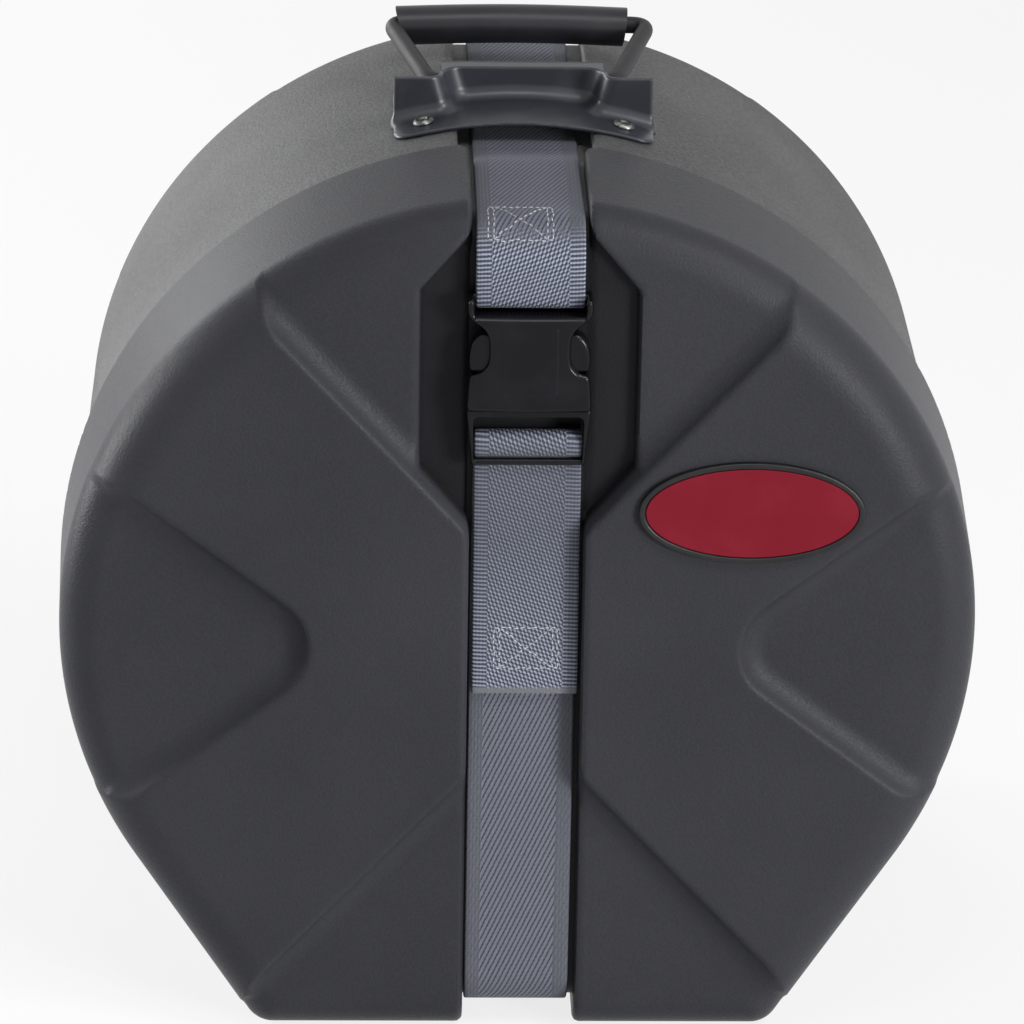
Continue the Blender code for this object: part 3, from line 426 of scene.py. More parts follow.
@dataclass(frozen=True)
class Foam:
    """Open-cell lining foam."""

    colour: Colour = (0.022, 0.022, 0.024)
    pale: Colour = (0.060, 0.060, 0.063)

    def make(self) -> bpy.types.Material:
        """Pitted by a fine cell pattern.

        Returns:
            The material.
        """
        graph = Graph("lining_foam")
        place = graph.place()
        cells = graph.add(
            "ShaderNodeTexVoronoi", {"feature": "F1"}, {"Vector": place, "Scale": 700.0}
        )
        cloud = graph.noise(place, 25.0, 3.0)
        return graph.set(
            Base_Color=graph.mix(cells.ease(0.1, 0.8) * 0.7 + cloud * 0.3, self.colour, self.pale),
            Roughness=0.95,
            Normal=graph.bump(cells, 0.0004),
        )


@dataclass(frozen=True)
class Webbing:
    """Woven polypropylene strap.

    Its UV map is in metres, across and along. The attribute weave is 0 on the twill side and 1
    where the loose basket weave shows. The attribute glow is painted light: it blends the floats
    from dim to a painted sheen, and the gaps between them to painted shadow.
    """

    ground: Colour = (0.172, 0.183, 0.226)
    shade: Colour = (0.045, 0.048, 0.060)
    selvage: Colour = (0.110, 0.116, 0.138)
    hem: Colour = (0.150, 0.155, 0.175)
    float_painted_dim: Colour = (0.136, 0.146, 0.178)
    float_painted_lit: Colour = (0.40, 0.436, 0.545)
    gap_painted_dim: Colour = (0.070, 0.075, 0.095)
    gap_painted_shadow: Colour = (0.048, 0.053, 0.076)
    edge: float = 0.0168
    slant: float = 0.445
    twill_pitch: float = 0.00230
    float_pitch: float = 0.00168
    pick_pitch: float = 0.00190

    def make(self) -> bpy.types.Material:
        """Twill and basket weave laid over one another, with ribbed selvages beside them.

        The twill is a wave of across plus a share of along, broken by the picks. The basket
        weave's floats are a finer wave that leans less, brightest where the picks stand high too.

        Returns:
            The material.
        """
        graph = Graph("woven_strap")
        across, along, _ = graph.split(graph.add("ShaderNodeTexCoord", output="UV"))
        weave, glow, hem = (graph.attribute(name) for name in ("weave", "glow", "hem"))
        yarn = graph.add("ShaderNodeCombineXYZ", {}, {0: across, 1: along})
        wobble = (graph.noise(yarn, 420.0, 2.0) - 0.5) * 0.0006
        uneven = graph.noise(yarn, 700.0, 3.0)
        fibre = graph.noise(graph.stretch(yarn, (5200.0, 1300.0, 1.0)), 1.0, 2.0)
        beside = across.apply("ABSOLUTE").ease(self.edge, self.edge + 0.0006)
        picks = (along + across * 0.06 + wobble * 0.5).wave(self.pick_pitch)
        cords = (across + wobble * 0.3).wave(0.00155)
        twill = (across + along * self.slant + wobble).wave(self.twill_pitch)
        lines = twill.ease(0.50, 0.92) * (0.65 + picks * 0.35)
        lean = (across + along * 0.31 + wobble).wave(self.float_pitch)
        rows = (along + across * 0.35 + wobble * 0.5).wave(self.pick_pitch)
        raised = (lean * 0.52 + rows * 0.48).ease(0.30, 0.84)
        ribs = (picks * 0.78 + cords * 0.22).ease(0.30, 0.80)
        faint = (along + wobble).wave(self.pick_pitch / 2) * 0.5 + cords * 0.5
        plain = graph.mix(lines, self.ground, self.shade)
        plain = graph.mix(beside * (0.65 + faint * 0.35), plain, self.selvage)
        # Painted light: glow blends the floats from dim to a painted sheen and the gaps to painted
        # shadow.
        high = graph.mix(glow, self.float_painted_dim, self.float_painted_lit)
        deep = graph.mix(glow, self.gap_painted_dim, self.gap_painted_shadow)
        loose = graph.mix(raised, deep, high)
        ribbed = graph.mix(ribs * 0.85, deep, high)
        loose = graph.mix(beside, loose, ribbed)
        colour = graph.mix(weave, plain, loose)
        colour = graph.mix(fibre * 0.25 + uneven.ease(0.45, 0.8) * 0.22, colour, self.shade)
        colour = graph.mix(hem, colour, self.hem)
        plain_height = (1 - lines) * (1 - beside) + faint * beside * 0.5
        loose_height = raised * (1 - beside) + ribs * beside
        height = plain_height * (1 - weave) + loose_height * weave + fibre * 0.25
        return graph.set(
            Base_Color=colour,
            Roughness=0.72 - glow * weave * 0.20,
            Specular_IOR_Level=0.2,
            Sheen_Weight=0.05,
            Sheen_Roughness=0.4,
            Normal=graph.bump(height * (1 - hem * 0.8), 0.00030),
        )


@dataclass(frozen=True)
class Thread:
    """Pale sewing thread."""

    colour: Colour = (0.56, 0.57, 0.60)
    dark: Colour = (0.24, 0.25, 0.28)

    def make(self) -> bpy.types.Material:
        """Twisted fibre from a stretched noise.

        Returns:
            The material.
        """
        graph = Graph("thread")
        twist = graph.noise(graph.place(), 2600.0, 2.0)
        return graph.set(
            Base_Color=graph.mix(twist.ease(0.4, 0.7), self.colour, self.dark),
            Roughness=0.7,
            Normal=graph.bump(twist, 0.00005),
        )


# Meshes from whole arrays


def mesh_piece(
    name: str,
    points: Array,
    faces: Array | Sequence[Array],
    crease: float = 40.0,
    uv: Array | None = None,
) -> bpy.types.Object:
    """Make a mesh object from arrays, smooth below a crease angle.

    Args:
        name: The piece's name.
        points: Places, one row each.
        faces: Corner indices, as one array or as several of different widths.
        crease: Crease angle in degrees.
        uv: A UV pair for each point.

    Returns:
        The object, linked into the scene.
    """
    groups = [faces] if isinstance(faces, np.ndarray) else list(faces)
    corners = np.concatenate([group.ravel() for group in groups]).astype(np.int32)
    sizes = np.concatenate([np.full(len(group), group.shape[1]) for group in groups])
    starts = np.concatenate([[0], np.cumsum(sizes)[:-1]]).astype(np.int32)
    mesh = bpy.data.meshes.new(name)
    mesh.vertices.add(len(points))
    mesh.vertices.foreach_set("co", np.ascontiguousarray(points, dtype=np.float32).ravel())
    mesh.loops.add(len(corners))
    mesh.loops.foreach_set("vertex_index", corners)
    mesh.polygons.add(len(starts))
    mesh.polygons.foreach_set("loop_start", starts)
    mesh.update(calc_edges=True)
    if uv is not None:
        layer = mesh.uv_layers.new(name="metres")
        layer.data.foreach_set("uv", uv[corners].astype(np.float32).ravel())
    mesh.shade_smooth()
    mesh.set_sharp_from_angle(angle=math.radians(crease))
    made = bpy.data.objects.new(name, mesh)
    bpy.context.scene.collection.objects.link(made)
    return made


def grid_faces(rows: int, columns: int, wrap_rows: bool = False, wrap: bool = True) -> Array:
    """Quads of a grid of points.

    Args:
        rows: Rows of points.
        columns: Points in a row.
        wrap_rows: Whether the last row joins the first.
        wrap: Whether each row's end joins its start.

    Returns:
        Corner indices.
    """
    row = np.arange(rows if wrap_rows else rows - 1)[:, None]
    column = np.arange(columns if wrap else columns - 1)[None, :]
    after_row, after = (row + 1) % rows, (column + 1) % columns
    corners = (
        row * columns + column,
        row * columns + after,
        after_row * columns + after,
        after_row * columns + column,
    )
    return np.stack([np.broadcast_to(c, (row.size, column.size)).ravel() for c in corners], axis=1)


def end_fans(rows: int, columns: int) -> Array:
    """Triangles from a grid's first and last rows to the two points that follow it.

    Args:
        rows: Rows of points.
        columns: Points in a row.

    Returns:
        Corner indices.
    """
    around = np.arange(columns)
    after = (around + 1) % columns
    last = (rows - 1) * columns
    near = np.stack([after, around, np.full(columns, rows * columns)], axis=1)
    far = np.stack([last + around, last + after, np.full(columns, rows * columns + 1)], axis=1)
    return np.concatenate([near, far])

def carry(
    centres: Array, side: Array, up: Array, section: Array
) -> tuple[Array, list[Array]]:
    """Carry a closed section along a path and close both ends with fans.

    A point is the path's place, plus the section's first value along the side vector, plus its
    second along the up vector.

    Args:
        centres: Places along the path.
        side: Unit vectors across, one for each place.
        up: Unit vectors out, one for each place.
        section: The section's points, one ring for all places or one for each.

    Returns:
        Points and faces.
    """
    if section.ndim == 2:
        section = np.broadcast_to(section, (len(centres), *section.shape))
    rings = (
        centres[:, None]
        + section[..., :1] * side[:, None]
        + section[..., 1:2] * up[:, None]
    )
    rows, columns = rings.shape[:2]
    points = np.concatenate([rings.reshape(-1, 3), rings[:1].mean(1), rings[-1:].mean(1)])
    return points, [grid_faces(rows, columns), end_fans(rows, columns)]


def store(made: bpy.types.Object, name: str, values: Array) -> None:
    """Keep a number at each of a piece's points, as an attribute."""
    layer = made.data.attributes.new(name, "FLOAT", "POINT")
    layer.data.foreach_set("value", values.astype(np.float32))

def circle(radius: float, count: int) -> Array:
    """A circle's points, which run from the first axis towards the second."""
    turn = np.arange(count) * (2 * math.pi / count)
    return radius * np.stack([np.cos(turn), np.sin(turn)], axis=1)


def arc(middle: tuple[float, float], radius: float, start: float, end: float, steps: int) -> Array:
    """Points along an arc, its angles in degrees."""
    turn = np.radians(np.linspace(start, end, steps + 1))
    return np.array(middle) + radius * np.stack([np.cos(turn), np.sin(turn)], axis=1)


def resample(path: Array, step: float) -> tuple[Array, Array]:
    """Places at an even step along a path, with their distances from its start.

    Args:
        path: Places, one row each.
        step: The wanted step.

    Returns:
        The new places and their distances.
    """
    length = np.concatenate([[0], np.cumsum(np.linalg.norm(np.diff(path, axis=0), axis=1))])
    along = np.linspace(0, length[-1], max(int(round(length[-1] / step)), 2) + 1)
    return np.stack([np.interp(along, length, column) for column in path.T], axis=1), along


# Solid forms as distance fields


def join_round(first: Array, second: Array, radius: float) -> Array:
    """Union of two fields with a fillet of a radius in the corner between them.

    Within the radius of both surfaces the distance is the radius less the distance from the
    fillet's centre, and elsewhere it is the lesser of the two.
    """
    near = np.hypot(np.maximum(radius - first, 0), np.maximum(radius - second, 0))
    return np.maximum(radius, np.minimum(first, second)) - near


def meet_round(first: Array, second: Array, radius: float) -> Array:
    """Intersection of two fields with its edge rounded to a radius."""
    return -join_round(-first, -second, radius)


def rounded_corner(first: Array, second: Array, radius: float) -> Array:
    """Distance from a corner whose two sides are at first and second, rounded to a radius.

    Outside both inner sides it is the distance from the round's centre less the radius.
    """
    a, b = first + radius, second + radius
    return np.hypot(np.maximum(a, 0), np.maximum(b, 0)) + np.minimum(np.maximum(a, b), 0) - radius


def slab(value: Array, low: float, high: float) -> Array:
    """Distance from the space between two planes."""
    return np.abs(value - (low + high) / 2) - (high - low) / 2


def capsule(first: Array, second: Array, radius: float, half: float = 0.0) -> Array:
    """Distance from a round bar, seen along it, which may be straight for a half length."""
    return np.hypot(first, np.maximum(np.abs(second) - half, 0)) - radius


def rounded_loop(
    points: Sequence[tuple[float, float]], cuts: Sequence[float] = (0.0010, 0.0004)
) -> Array:
    """Round a closed outline given in millimetres.

    Each pass swaps an edge's ends for places a cut further in, at most a quarter of its length.

    Args:
        points: The outline's corners.
        cuts: The most that each pass cuts.

    Returns:
        The outline's points in metres.
    """
    loop = np.array(points) / 1000
    for cut in cuts:
        after = np.roll(loop, -1, axis=0)
        share = np.minimum(0.25, cut / np.linalg.norm(after - loop, axis=1, keepdims=True))
        ends = [loop + (after - loop) * share, after + (loop - after) * share]
        loop = np.stack(ends, axis=1).reshape(-1, 2)
    return loop


def loop_distance(loop: Array, x: Array, z: Array) -> Array:
    """Distance from a closed outline, negative inside.

    It is the least distance from the outline's edges. A place is inside where a level line from
    it crosses them an odd number of times.

    Args:
        loop: The outline's points.
        x: Places across.
        z: Heights.

    Returns:
        The distance.
    """
    (ax, az), (bx, bz) = loop.T, np.roll(loop, -1, axis=0).T
    px, pz = (x + 0 * z)[..., None], (z + 0 * x)[..., None]
    ex, ez = bx - ax, bz - az
    share = np.clip(((px - ax) * ex + (pz - az) * ez) / (ex**2 + ez**2), 0, 1)
    gap = np.hypot(px - ax - share * ex, pz - az - share * ez).min(-1)
    reach = ax + (pz - az) * ex / np.where(ez == 0, 1, ez)
    crossed = ((az > pz) != (bz > pz)) & (px < reach)
    return np.where(crossed.sum(-1) % 2 == 1, -gap, gap)


def lines(*stops: tuple[float, float]) -> Array:
    """Grid lines from stop to stop.

    Args:
        stops: Pairs of a place and the pitch up to the next place.

    Returns:
        Places that rise, with about each stop's pitch between them.
    """
    runs = [
        np.linspace(start, end, max(int(round((end - start) / pitch)), 1), endpoint=False)
        for (start, pitch), (end, _) in zip(stops, stops[1:])
    ]
    return np.concatenate([*runs, [stops[-1][0]]])


class DualSurface:
    """The zero surface of a distance field, as a quad mesh whose points keep its edges crisp.

    Fillets, channels and a pocket meet on the mouldings in ways that no single grid of two
    parameters follows, so these forms are fields. Every grid edge that the surface crosses gives a
    point and a normal. Each cell's vertex is the place that lies nearest to the planes of its own
    crossings, in least squares, and every crossed edge joins the four cells round it by one quad.
    """

    AROUND = ((-1, -1), (0, -1), (0, 0), (-1, 0))
    HALVINGS = 12
    PULL = 0.02
    PROBE = 0.00002
    NEAR = 0.02

    def __init__(self, shape: Field, x: Array, y: Array, z: Array) -> None:
        """Work out the mesh.

        Args:
            shape: The distance field, negative inside.
            x: Grid lines across.
            y: Grid lines in depth.
            z: Grid lines in height.
        """
        self.shape = shape
        self.lines = (x, y, z)
        self.inside = self._sample() < 0
        self.points, self.quads = self._solve()

    def _sample(self) -> Array:
        """The field at every grid point."""
        x, y, z = np.meshgrid(*self.lines, indexing="ij", sparse=True)
        return np.broadcast_to(self.shape(x, y, z), tuple(len(line) for line in self.lines))

    def _at(self, points: Array) -> Array:
        """The field at listed points."""
        return self.shape(points[:, 0], points[:, 1], points[:, 2])

    def _crossings(self, axis: int) -> tuple[Array, Array, Array]:
        """Crossed grid edges along an axis.

        Args:
            axis: 0, 1 or 2.

        Returns:
            Each edge's lower grid index, whether its lower end is inside, and the crossing.
        """
        count = len(self.lines[axis])
        low = self.inside.take(range(count - 1), axis)
        high = self.inside.take(range(1, count), axis)
        index = np.argwhere(low != high)
        others = [other for other in range(3) if other != axis]
        within = np.all(
            [(index[:, o] > 0) & (index[:, o] < len(self.lines[o]) - 1) for o in others], axis=0
        )
        index = index[within]
        start = np.stack([self.lines[k][index[:, k]] for k in range(3)], axis=1)
        end = start.copy()
        end[:, axis] = self.lines[axis][index[:, axis] + 1]
        starts_inside = low[tuple(index.T)]
        for _ in range(self.HALVINGS):
            middle = (start + end) / 2
            same = (self._at(middle) < 0) == starts_inside
            start = np.where(same[:, None], middle, start)
            end = np.where(same[:, None], end, middle)
        return index, starts_inside, (start + end) / 2

    def _normals(self, points: Array) -> Array:
        """The field's slope by central differences, made unit length.

        Args:
            points: Places, one row each.

        Returns:
            Unit vectors, outwards.
        """
        steps = np.eye(3) * self.PROBE
        slope = np.stack([self._at(points + s) - self._at(points - s) for s in steps], axis=1)
        return slope / np.maximum(np.linalg.norm(slope, axis=1, keepdims=True), 1e-12)

    def _solve(self) -> tuple[Array, Array]:
        """Place the cells' vertices and list the quads.

        Returns:
            The vertices and the quads' corners.
        """
        cells = tuple(len(line) - 1 for line in self.lines)
        owners, places, normals, faces = [], [], [], []
        for axis in range(3):
            index, starts_inside, crossing = self._crossings(axis)
            slope = self._normals(crossing)
            first, second = (axis + 1) % 3, (axis + 2) % 3
            corners = []
            for one, two in self.AROUND:
                cell = index.copy()
                cell[:, first] += one
                cell[:, second] += two
                corners.append(np.ravel_multi_index(tuple(cell.T), cells))
                owners.append(corners[-1])
                places.append(crossing)
                normals.append(slope)
            quad = np.stack(corners, axis=1)
            faces.append(np.where(starts_inside[:, None], quad, quad[:, ::-1]))
        owner, place, normal = (np.concatenate(part) for part in (owners, places, normals))
        used, owner = np.unique(owner, return_inverse=True)
        count = np.bincount(owner)
        mean = np.stack([np.bincount(owner, place[:, k]) for k in range(3)], axis=1)
        mean /= count[:, None]
        reach = np.einsum("ij,ij->i", normal, place - mean[owner])
        right = np.stack([np.bincount(owner, normal[:, k] * reach) for k in range(3)], axis=1)
        square = np.empty((len(used), 3, 3))
        for row in range(3):
            for column in range(3):
                square[:, row, column] = np.bincount(owner, normal[:, row] * normal[:, column])
        square += np.eye(3) * (self.PULL * count[:, None, None])
        points = mean + np.linalg.solve(square, right[:, :, None])[:, :, 0]
        low = np.stack(np.unravel_index(used, cells), axis=1)
        floor = np.stack([self.lines[k][low[:, k]] for k in range(3)], axis=1)
        ceiling = np.stack([self.lines[k][low[:, k] + 1] for k in range(3)], axis=1)
        held = np.clip(points, floor, ceiling)
        slack = self.NEAR * (ceiling - floor).min(1)
        nearer = np.abs(self._at(held)) <= np.abs(self._at(mean)) + slack
        points = np.where(nearer[:, None], held, mean)
        return points, np.searchsorted(used, np.concatenate(faces))

    def piece(self, name: str, keep: Field | None = None, crease: float = 34.0) -> bpy.types.Object:
        """Make a mesh object of the surface, or of a part of it.

        Args:
            name: The piece's name.
            keep: A field that is negative on the part that is kept.
            crease: Crease angle in degrees.

        Returns:
            The object.
        """
        quads, points = self.quads, self.points
        if keep is not None:
            middle = points[quads].mean(1)
            quads = quads[keep(middle[:, 0], middle[:, 1], middle[:, 2]) < 0]
            used, quads = np.unique(quads, return_inverse=True)
            points, quads = points[used], quads.reshape(-1, 4)
        return mesh_piece(name, points, quads, crease)


# The two mouldings


@dataclass
class Moulding:
    """What the lid and the base share: the drum outline, the raised cross and the channel."""

    radius: float = 0.208
    bottom: float = CENTRE
    flank: float = math.radians(32.5)
    corner: float = 0.014
    rim: float = 0.025
    wall: float = 0.0045
    relief: float = 0.008
    draft: float = 0.006
    run_out: float = 0.0013
    arm_angle: float = math.radians(47.5)
    side_angle: float = math.radians(37.8)
    upper_apex: float = 0.0358
    lower_apex: float = 0.0428
    side_apex: float = 0.0790
    side_nose: float = 0.0281
    channel_half: float = 0.02575
    channel_floor: float = 0.014
    channel_top: float = 0.199
    channel_low: float = 0.188
    channel_bend: float = 0.018
    crest_round: float = 0.0014
    floor_round: float = 0.0052
    channel_round: float = 0.0035

    def outline(self, x: Array, z: Array, radius: Array | float, bottom: float) -> Array:
        """Distance from the drum outline, seen from the front.

        Above the flanks' tangent points it is the distance from the circle, below them the
        distance from the flank's line, and round the bottom corners the distance from an arc.

        Args:
            x: Places across, from the drum's middle.
            z: Heights from the drum's middle.
            radius: The drum's radius.
            bottom: How far the flat bottom lies below the middle.

        Returns:
            The distance, negative inside.
        """
        across = np.abs(x)
        cos, sin = math.cos(self.flank), math.sin(self.flank)
        flank = across * cos - z * sin - radius
        side = np.where(-across * sin - z * cos > 0, flank, np.hypot(across, z) - radius)
        low = -z - bottom
        mid_z = self.corner - bottom
        mid_x = (radius - self.corner + mid_z * sin) / cos
        right, up = across - mid_x, z - mid_z
        in_corner = (right > 0) & (-right * sin - up * cos > 0)
        return np.where(in_corner, np.hypot(right, up) - self.corner, np.maximum(side, low))

    def vee(self, x: Array, z: Array, apex: float) -> Array:
        """Distance from a wedge that opens upwards at the arms' angle above an apex."""
        tilt = self.arm_angle
        return np.abs(x) * math.sin(tilt) + (apex - z) * math.cos(tilt)

    def nose(self, x: Array, z: Array) -> Array:
        """Distance from the wedge that opens sideways, with a round nose.

        Args:
            x: Places across.
            z: Heights.

        Returns:
            Signed distances, negative inside.
        """
        out = x - self.side_apex - self.side_nose / math.sin(self.side_angle)
        up = np.abs(z)
        cos, sin = math.cos(self.side_angle), math.sin(self.side_angle)
        edge = np.where(out * cos + up * sin > 0, up * cos - out * sin, np.hypot(out, up))
        return edge - self.side_nose + self.draft

    def panels(self, x: Array, z: Array, depth: Array) -> Array:
        """Distance from the four sunk panels, whose walls lean out towards the face.

        Args:
            x: Places across.
            z: Heights.
            depth: Depths behind the face.

        Returns:
            Signed distances, negative inside.
        """
        x = x - SHIFT
        widen = (self.relief - np.minimum(depth, self.relief)) * self.draft / self.relief
        sunk = np.minimum(
            np.minimum(self.vee(x, z, self.upper_apex), self.vee(x, -z, self.lower_apex)),
            self.nose(np.abs(x), z),
        )
        return (sunk - widen) / math.hypot(1, self.draft / self.relief)

    def carved(self, x: Array, z: Array, depth: Array, radius: Array | float) -> Array:
        """The body with its sunk panels: crisp at the cross's edges, filleted at the floors.

        The outer body, less the panels, is joined to a body that is the relief's depth further in
        and smaller by the panels' run-out. What the join adds outside the outer body is cut away.

        Args:
            x: Places across.
            z: Heights from the drum's middle.
            depth: How far in from the end face.
            radius: The drum's radius there.

        Returns:
            The distance, negative inside.
        """
        outer = rounded_corner(self.outline(x, z, radius, self.bottom), -depth, self.rim)
        cross = meet_round(outer, -self.panels(x, z, depth), self.crest_round)
        fade = self.run_out * np.clip(1 - (depth - self.relief) / (self.rim - self.relief), 0, 1)
        inner = self.outline(x, z, radius - fade, self.bottom - fade)
        floor = rounded_corner(inner, self.relief - depth, self.rim - self.relief)
        return np.maximum(join_round(cross, floor, self.floor_round), outer)

    def channel(self, x: Array, z: Array, depth: Array, half: Array | float) -> Array:
        """Distance from the space of the strap's channel, outside a round-cornered core.

        Args:
            x: Places across.
            z: Heights.
            depth: Depths behind the face.
            half: Half the case's depth.

        Returns:
            Signed distances, negative inside.
        """
        ends = np.maximum(z - self.channel_top, -self.channel_low - z)
        core = rounded_corner(ends, self.channel_floor - depth, self.channel_bend)
        return np.maximum(np.abs(x - SHIFT) - half, -core)


@dataclass
class Lid(Moulding):
    """The telescoping lid: a hollow moulding with a pocket for the buckle."""

    length: float = 0.091
    taper: float = 0.0027
    mouth_round: float = 0.005
    pocket_half: float = 0.04775
    pocket_top: float = 0.169
    pocket_low: float = 0.0859
    pocket_slope: float = math.radians(50)
    pocket_round: float = 0.0035
    painted_shade_from: float = 0.0025
    painted_shade_reach: float = 0.0075
    painted_shade_edge: float = 0.0002
    painted_shade_fade: float = 0.0012
    pitch: float = 0.0019

    def pocket_sides(self, x: Array, z: Array) -> Array:
        """Distance from the six sides of the pocket round the buckle, seen from the front.

        Args:
            x: Places across.
            z: Heights.

        Returns:
            Signed distances, negative inside.
        """
        wide = np.abs(x - SHIFT) - self.pocket_half
        cos, sin = math.cos(self.pocket_slope), math.sin(self.pocket_slope)
        upper = wide * sin + (z - self.pocket_top) * cos
        lower = wide * sin + (self.pocket_low - z) * cos
        return np.maximum(np.maximum(wide, upper), lower)

    def pocket(self, x: Array, z: Array, depth: Array) -> Array:
        """Distance from the pocket round the buckle."""
        return np.maximum(self.pocket_sides(x, z), depth - self.channel_floor)

    def hollow(self, points: Array) -> Array:
        """How much painted shade points get, by how deep in the pocket or the channel they lie: 0
        at the face, 1 near the floor.

        Args:
            points: Places, one row each.

        Returns:
            A number for each.
        """
        x, z = points[:, 0], points[:, 2] - CENTRE
        beside = np.minimum(self.pocket_sides(x, z), np.abs(x - SHIFT) - self.channel_half)
        depth = np.clip((points[:, 1] - FACE - self.painted_shade_from) / self.painted_shade_reach, 0, 1)
        return depth * np.clip(1 - (beside - self.painted_shade_edge) / self.painted_shade_fade, 0, 1)

    def solid(self, x: Array, y: Array, z: Array) -> Array:
        """Distance from the lid's outside, as if it ran on past its open edge.

        Args:
            x: Places across.
            y: Places in depth.
            z: Heights.

        Returns:
            Signed distances, negative inside.
        """
        z = z - CENTRE
        depth = y - FACE
        share = np.clip((depth - self.rim) / (self.length - self.rim), 0, 1)
        body = self.carved(x, z, depth, self.radius + self.taper * share)
        body = meet_round(body, -self.pocket(x, z, depth), self.pocket_round)
        past = np.clip(depth - self.length + self.mouth_round, 0, self.mouth_round)
        flare = self.mouth_round - np.sqrt(np.maximum(self.mouth_round**2 - past**2, 0))
        channel = self.channel(x, z, depth, self.channel_half + flare)
        return meet_round(body, -channel, self.channel_round)

    def shell(self, x: Array, y: Array, z: Array) -> Array:
        """Distance from the lid's wall, which has the same thickness all over."""
        wall = np.abs(self.solid(x, y, z) + self.wall / 2) - self.wall / 2
        return np.maximum(wall, y - FACE - self.length)

    def inner_half(self, x: Array, y: Array, z: Array) -> Array:
        """Negative on the wall's inner half."""
        return self.solid(x, y, z) + self.wall / 2

    def outer_half(self, x: Array, y: Array, z: Array) -> Array:
        """Negative on the wall's outer half."""
        return -self.inner_half(x, y, z)

    def build(self, finish: bpy.types.Material) -> None:
        """Make the lid's outer and inner skins, which meet in its open edge.

        Args:
            finish: The pieces' material.
        """
        reach = self.radius + self.taper + self.pitch
        across = lines((-reach, self.pitch), (reach, self.pitch))
        edge = FACE + self.length
        depth = lines(
            (FACE - self.pitch, self.pitch),
            (FACE + self.rim + self.relief, self.pitch * 3),
            (edge - self.mouth_round * 1.5, self.pitch),
            (edge + self.pitch, self.pitch),
        )
        height = lines((-self.pitch, self.pitch), (CENTRE + reach, self.pitch))
        surface = DualSurface(self.shell, across, depth, height)
        outer = surface.piece("lid_outside", self.outer_half)
        points = np.empty(len(outer.data.vertices) * 3, np.float32)
        outer.data.vertices.foreach_get("co", points)
        # The attribute hollow sets where the plastic gets painted shade, deep in the pocket and the
        # channel.
        store(outer, "hollow", self.hollow(points.reshape(-1, 3)))
        mount(outer, finish, Body.LID, ["lid_shell"])
        mount(surface.piece("lid_inside", self.inner_half), finish, Body.LID)


@dataclass
class Base(Moulding):
    """The base: a deeper moulding with a neck inside the lid and feet under it."""

    radius: float = 0.203
    bottom: float = 0.195
    channel_half: float = 0.03075
    channel_floor: float = 0.008
    channel_top: float = 0.194
    channel_low: float = 0.183
    shoulder: float = -0.072
    step: float = 0.0014
    neck: float = -0.1185
    foot_inner: float = 0.03475
    foot_outer: float = 0.10479
    foot_front: float = -0.052
    foot_back: float = 0.113
    foot_edge: float = 0.003
    foot_fillet: float = 0.002
    pitch: float = 0.0022

    def solid(self, x: Array, y: Array, z: Array, radius: Array | float) -> Array:
        """Distance from the base's body of a radius, as if it ran on past its neck.

        Args:
            x: Places across.
            y: Places in depth.
            z: Heights.
            radius: The body's radius.

        Returns:
            Signed distances, negative inside.
        """
        z = z - CENTRE
        body = self.carved(x, z, BACK - y, radius)
        channel = self.channel(x, z, BACK - y, self.channel_half)
        return meet_round(body, -channel, self.channel_round)

    def feet(self, x: Array, y: Array, z: Array) -> Array:
        """Distance from the two moulded feet, round in plan and along their lower edges.

        Args:
            x: Places across.
            y: Places in depth.
            z: Heights.

        Returns:
            Signed distances, negative inside.
        """
        mid_x = (self.foot_inner + self.foot_outer) / 2
        mid_y = (self.foot_front + self.foot_back) / 2
        wide = np.abs(np.abs(x - SHIFT) - mid_x) - (self.foot_outer - self.foot_inner) / 2
        deep = np.abs(y - mid_y) - (self.foot_back - self.foot_front) / 2
        plan = rounded_corner(wide, deep, self.corner)
        foot = rounded_corner(plan, -z, self.foot_edge)
        return np.maximum(foot, z - (CENTRE - self.bottom + self.wall / 2))

    def shell(self, x: Array, y: Array, z: Array) -> Array:
        """Distance from the base's wall and feet.

        Args:
            x: Places across.
            y: Places in depth.
            z: Heights.

        Returns:
            Signed distances, negative inside.
        """
        rise = np.clip((y - self.shoulder) / self.step, 0, 1)
        outside = self.solid(x, y, z, self.radius + self.step * rise)
        outside = join_round(outside, self.feet(x, y, z), self.foot_fillet)
        hollow = self.solid(x, y, z, self.radius) + self.wall
        return np.maximum(np.maximum(outside, -hollow), self.neck - y)

    def outer_half(self, x: Array, y: Array, z: Array) -> Array:
        """Negative on the wall's outer half."""
        return -self.inner_half(x, y, z)

    def inner_half(self, x: Array, y: Array, z: Array) -> Array:
        """Negative on the wall's inner half."""
        return self.solid(x, y, z, self.radius) + self.wall / 2

    def build(self, finish: bpy.types.Material) -> None:
        """Make the base's outer and inner skins, which meet in its open edge.

        Args:
            finish: The pieces' material.
        """
        reach = self.radius + self.step + self.pitch
        across = lines((-reach, self.pitch), (reach, self.pitch))
        coarse = self.pitch * 3
        depth = lines(
            (self.neck - self.pitch, self.pitch),
            (self.neck + coarse, coarse),
            (self.shoulder - self.pitch * 2, self.pitch * 0.4),
            (self.shoulder + self.pitch * 2, self.pitch),
            (self.foot_front + self.corner, coarse),
            (self.foot_back - self.corner, self.pitch),
            (BACK + self.pitch, self.pitch),
        )
        height = lines((-self.pitch, self.pitch), (CENTRE + reach, self.pitch))
        surface = DualSurface(self.shell, across, depth, height)
        outer = surface.piece("base_outside", self.outer_half)
        mount(outer, finish, Body.BASE, ["base_shell"])
        mount(surface.piece("base_inside", self.inner_half), finish, Body.BASE)


# Webbing


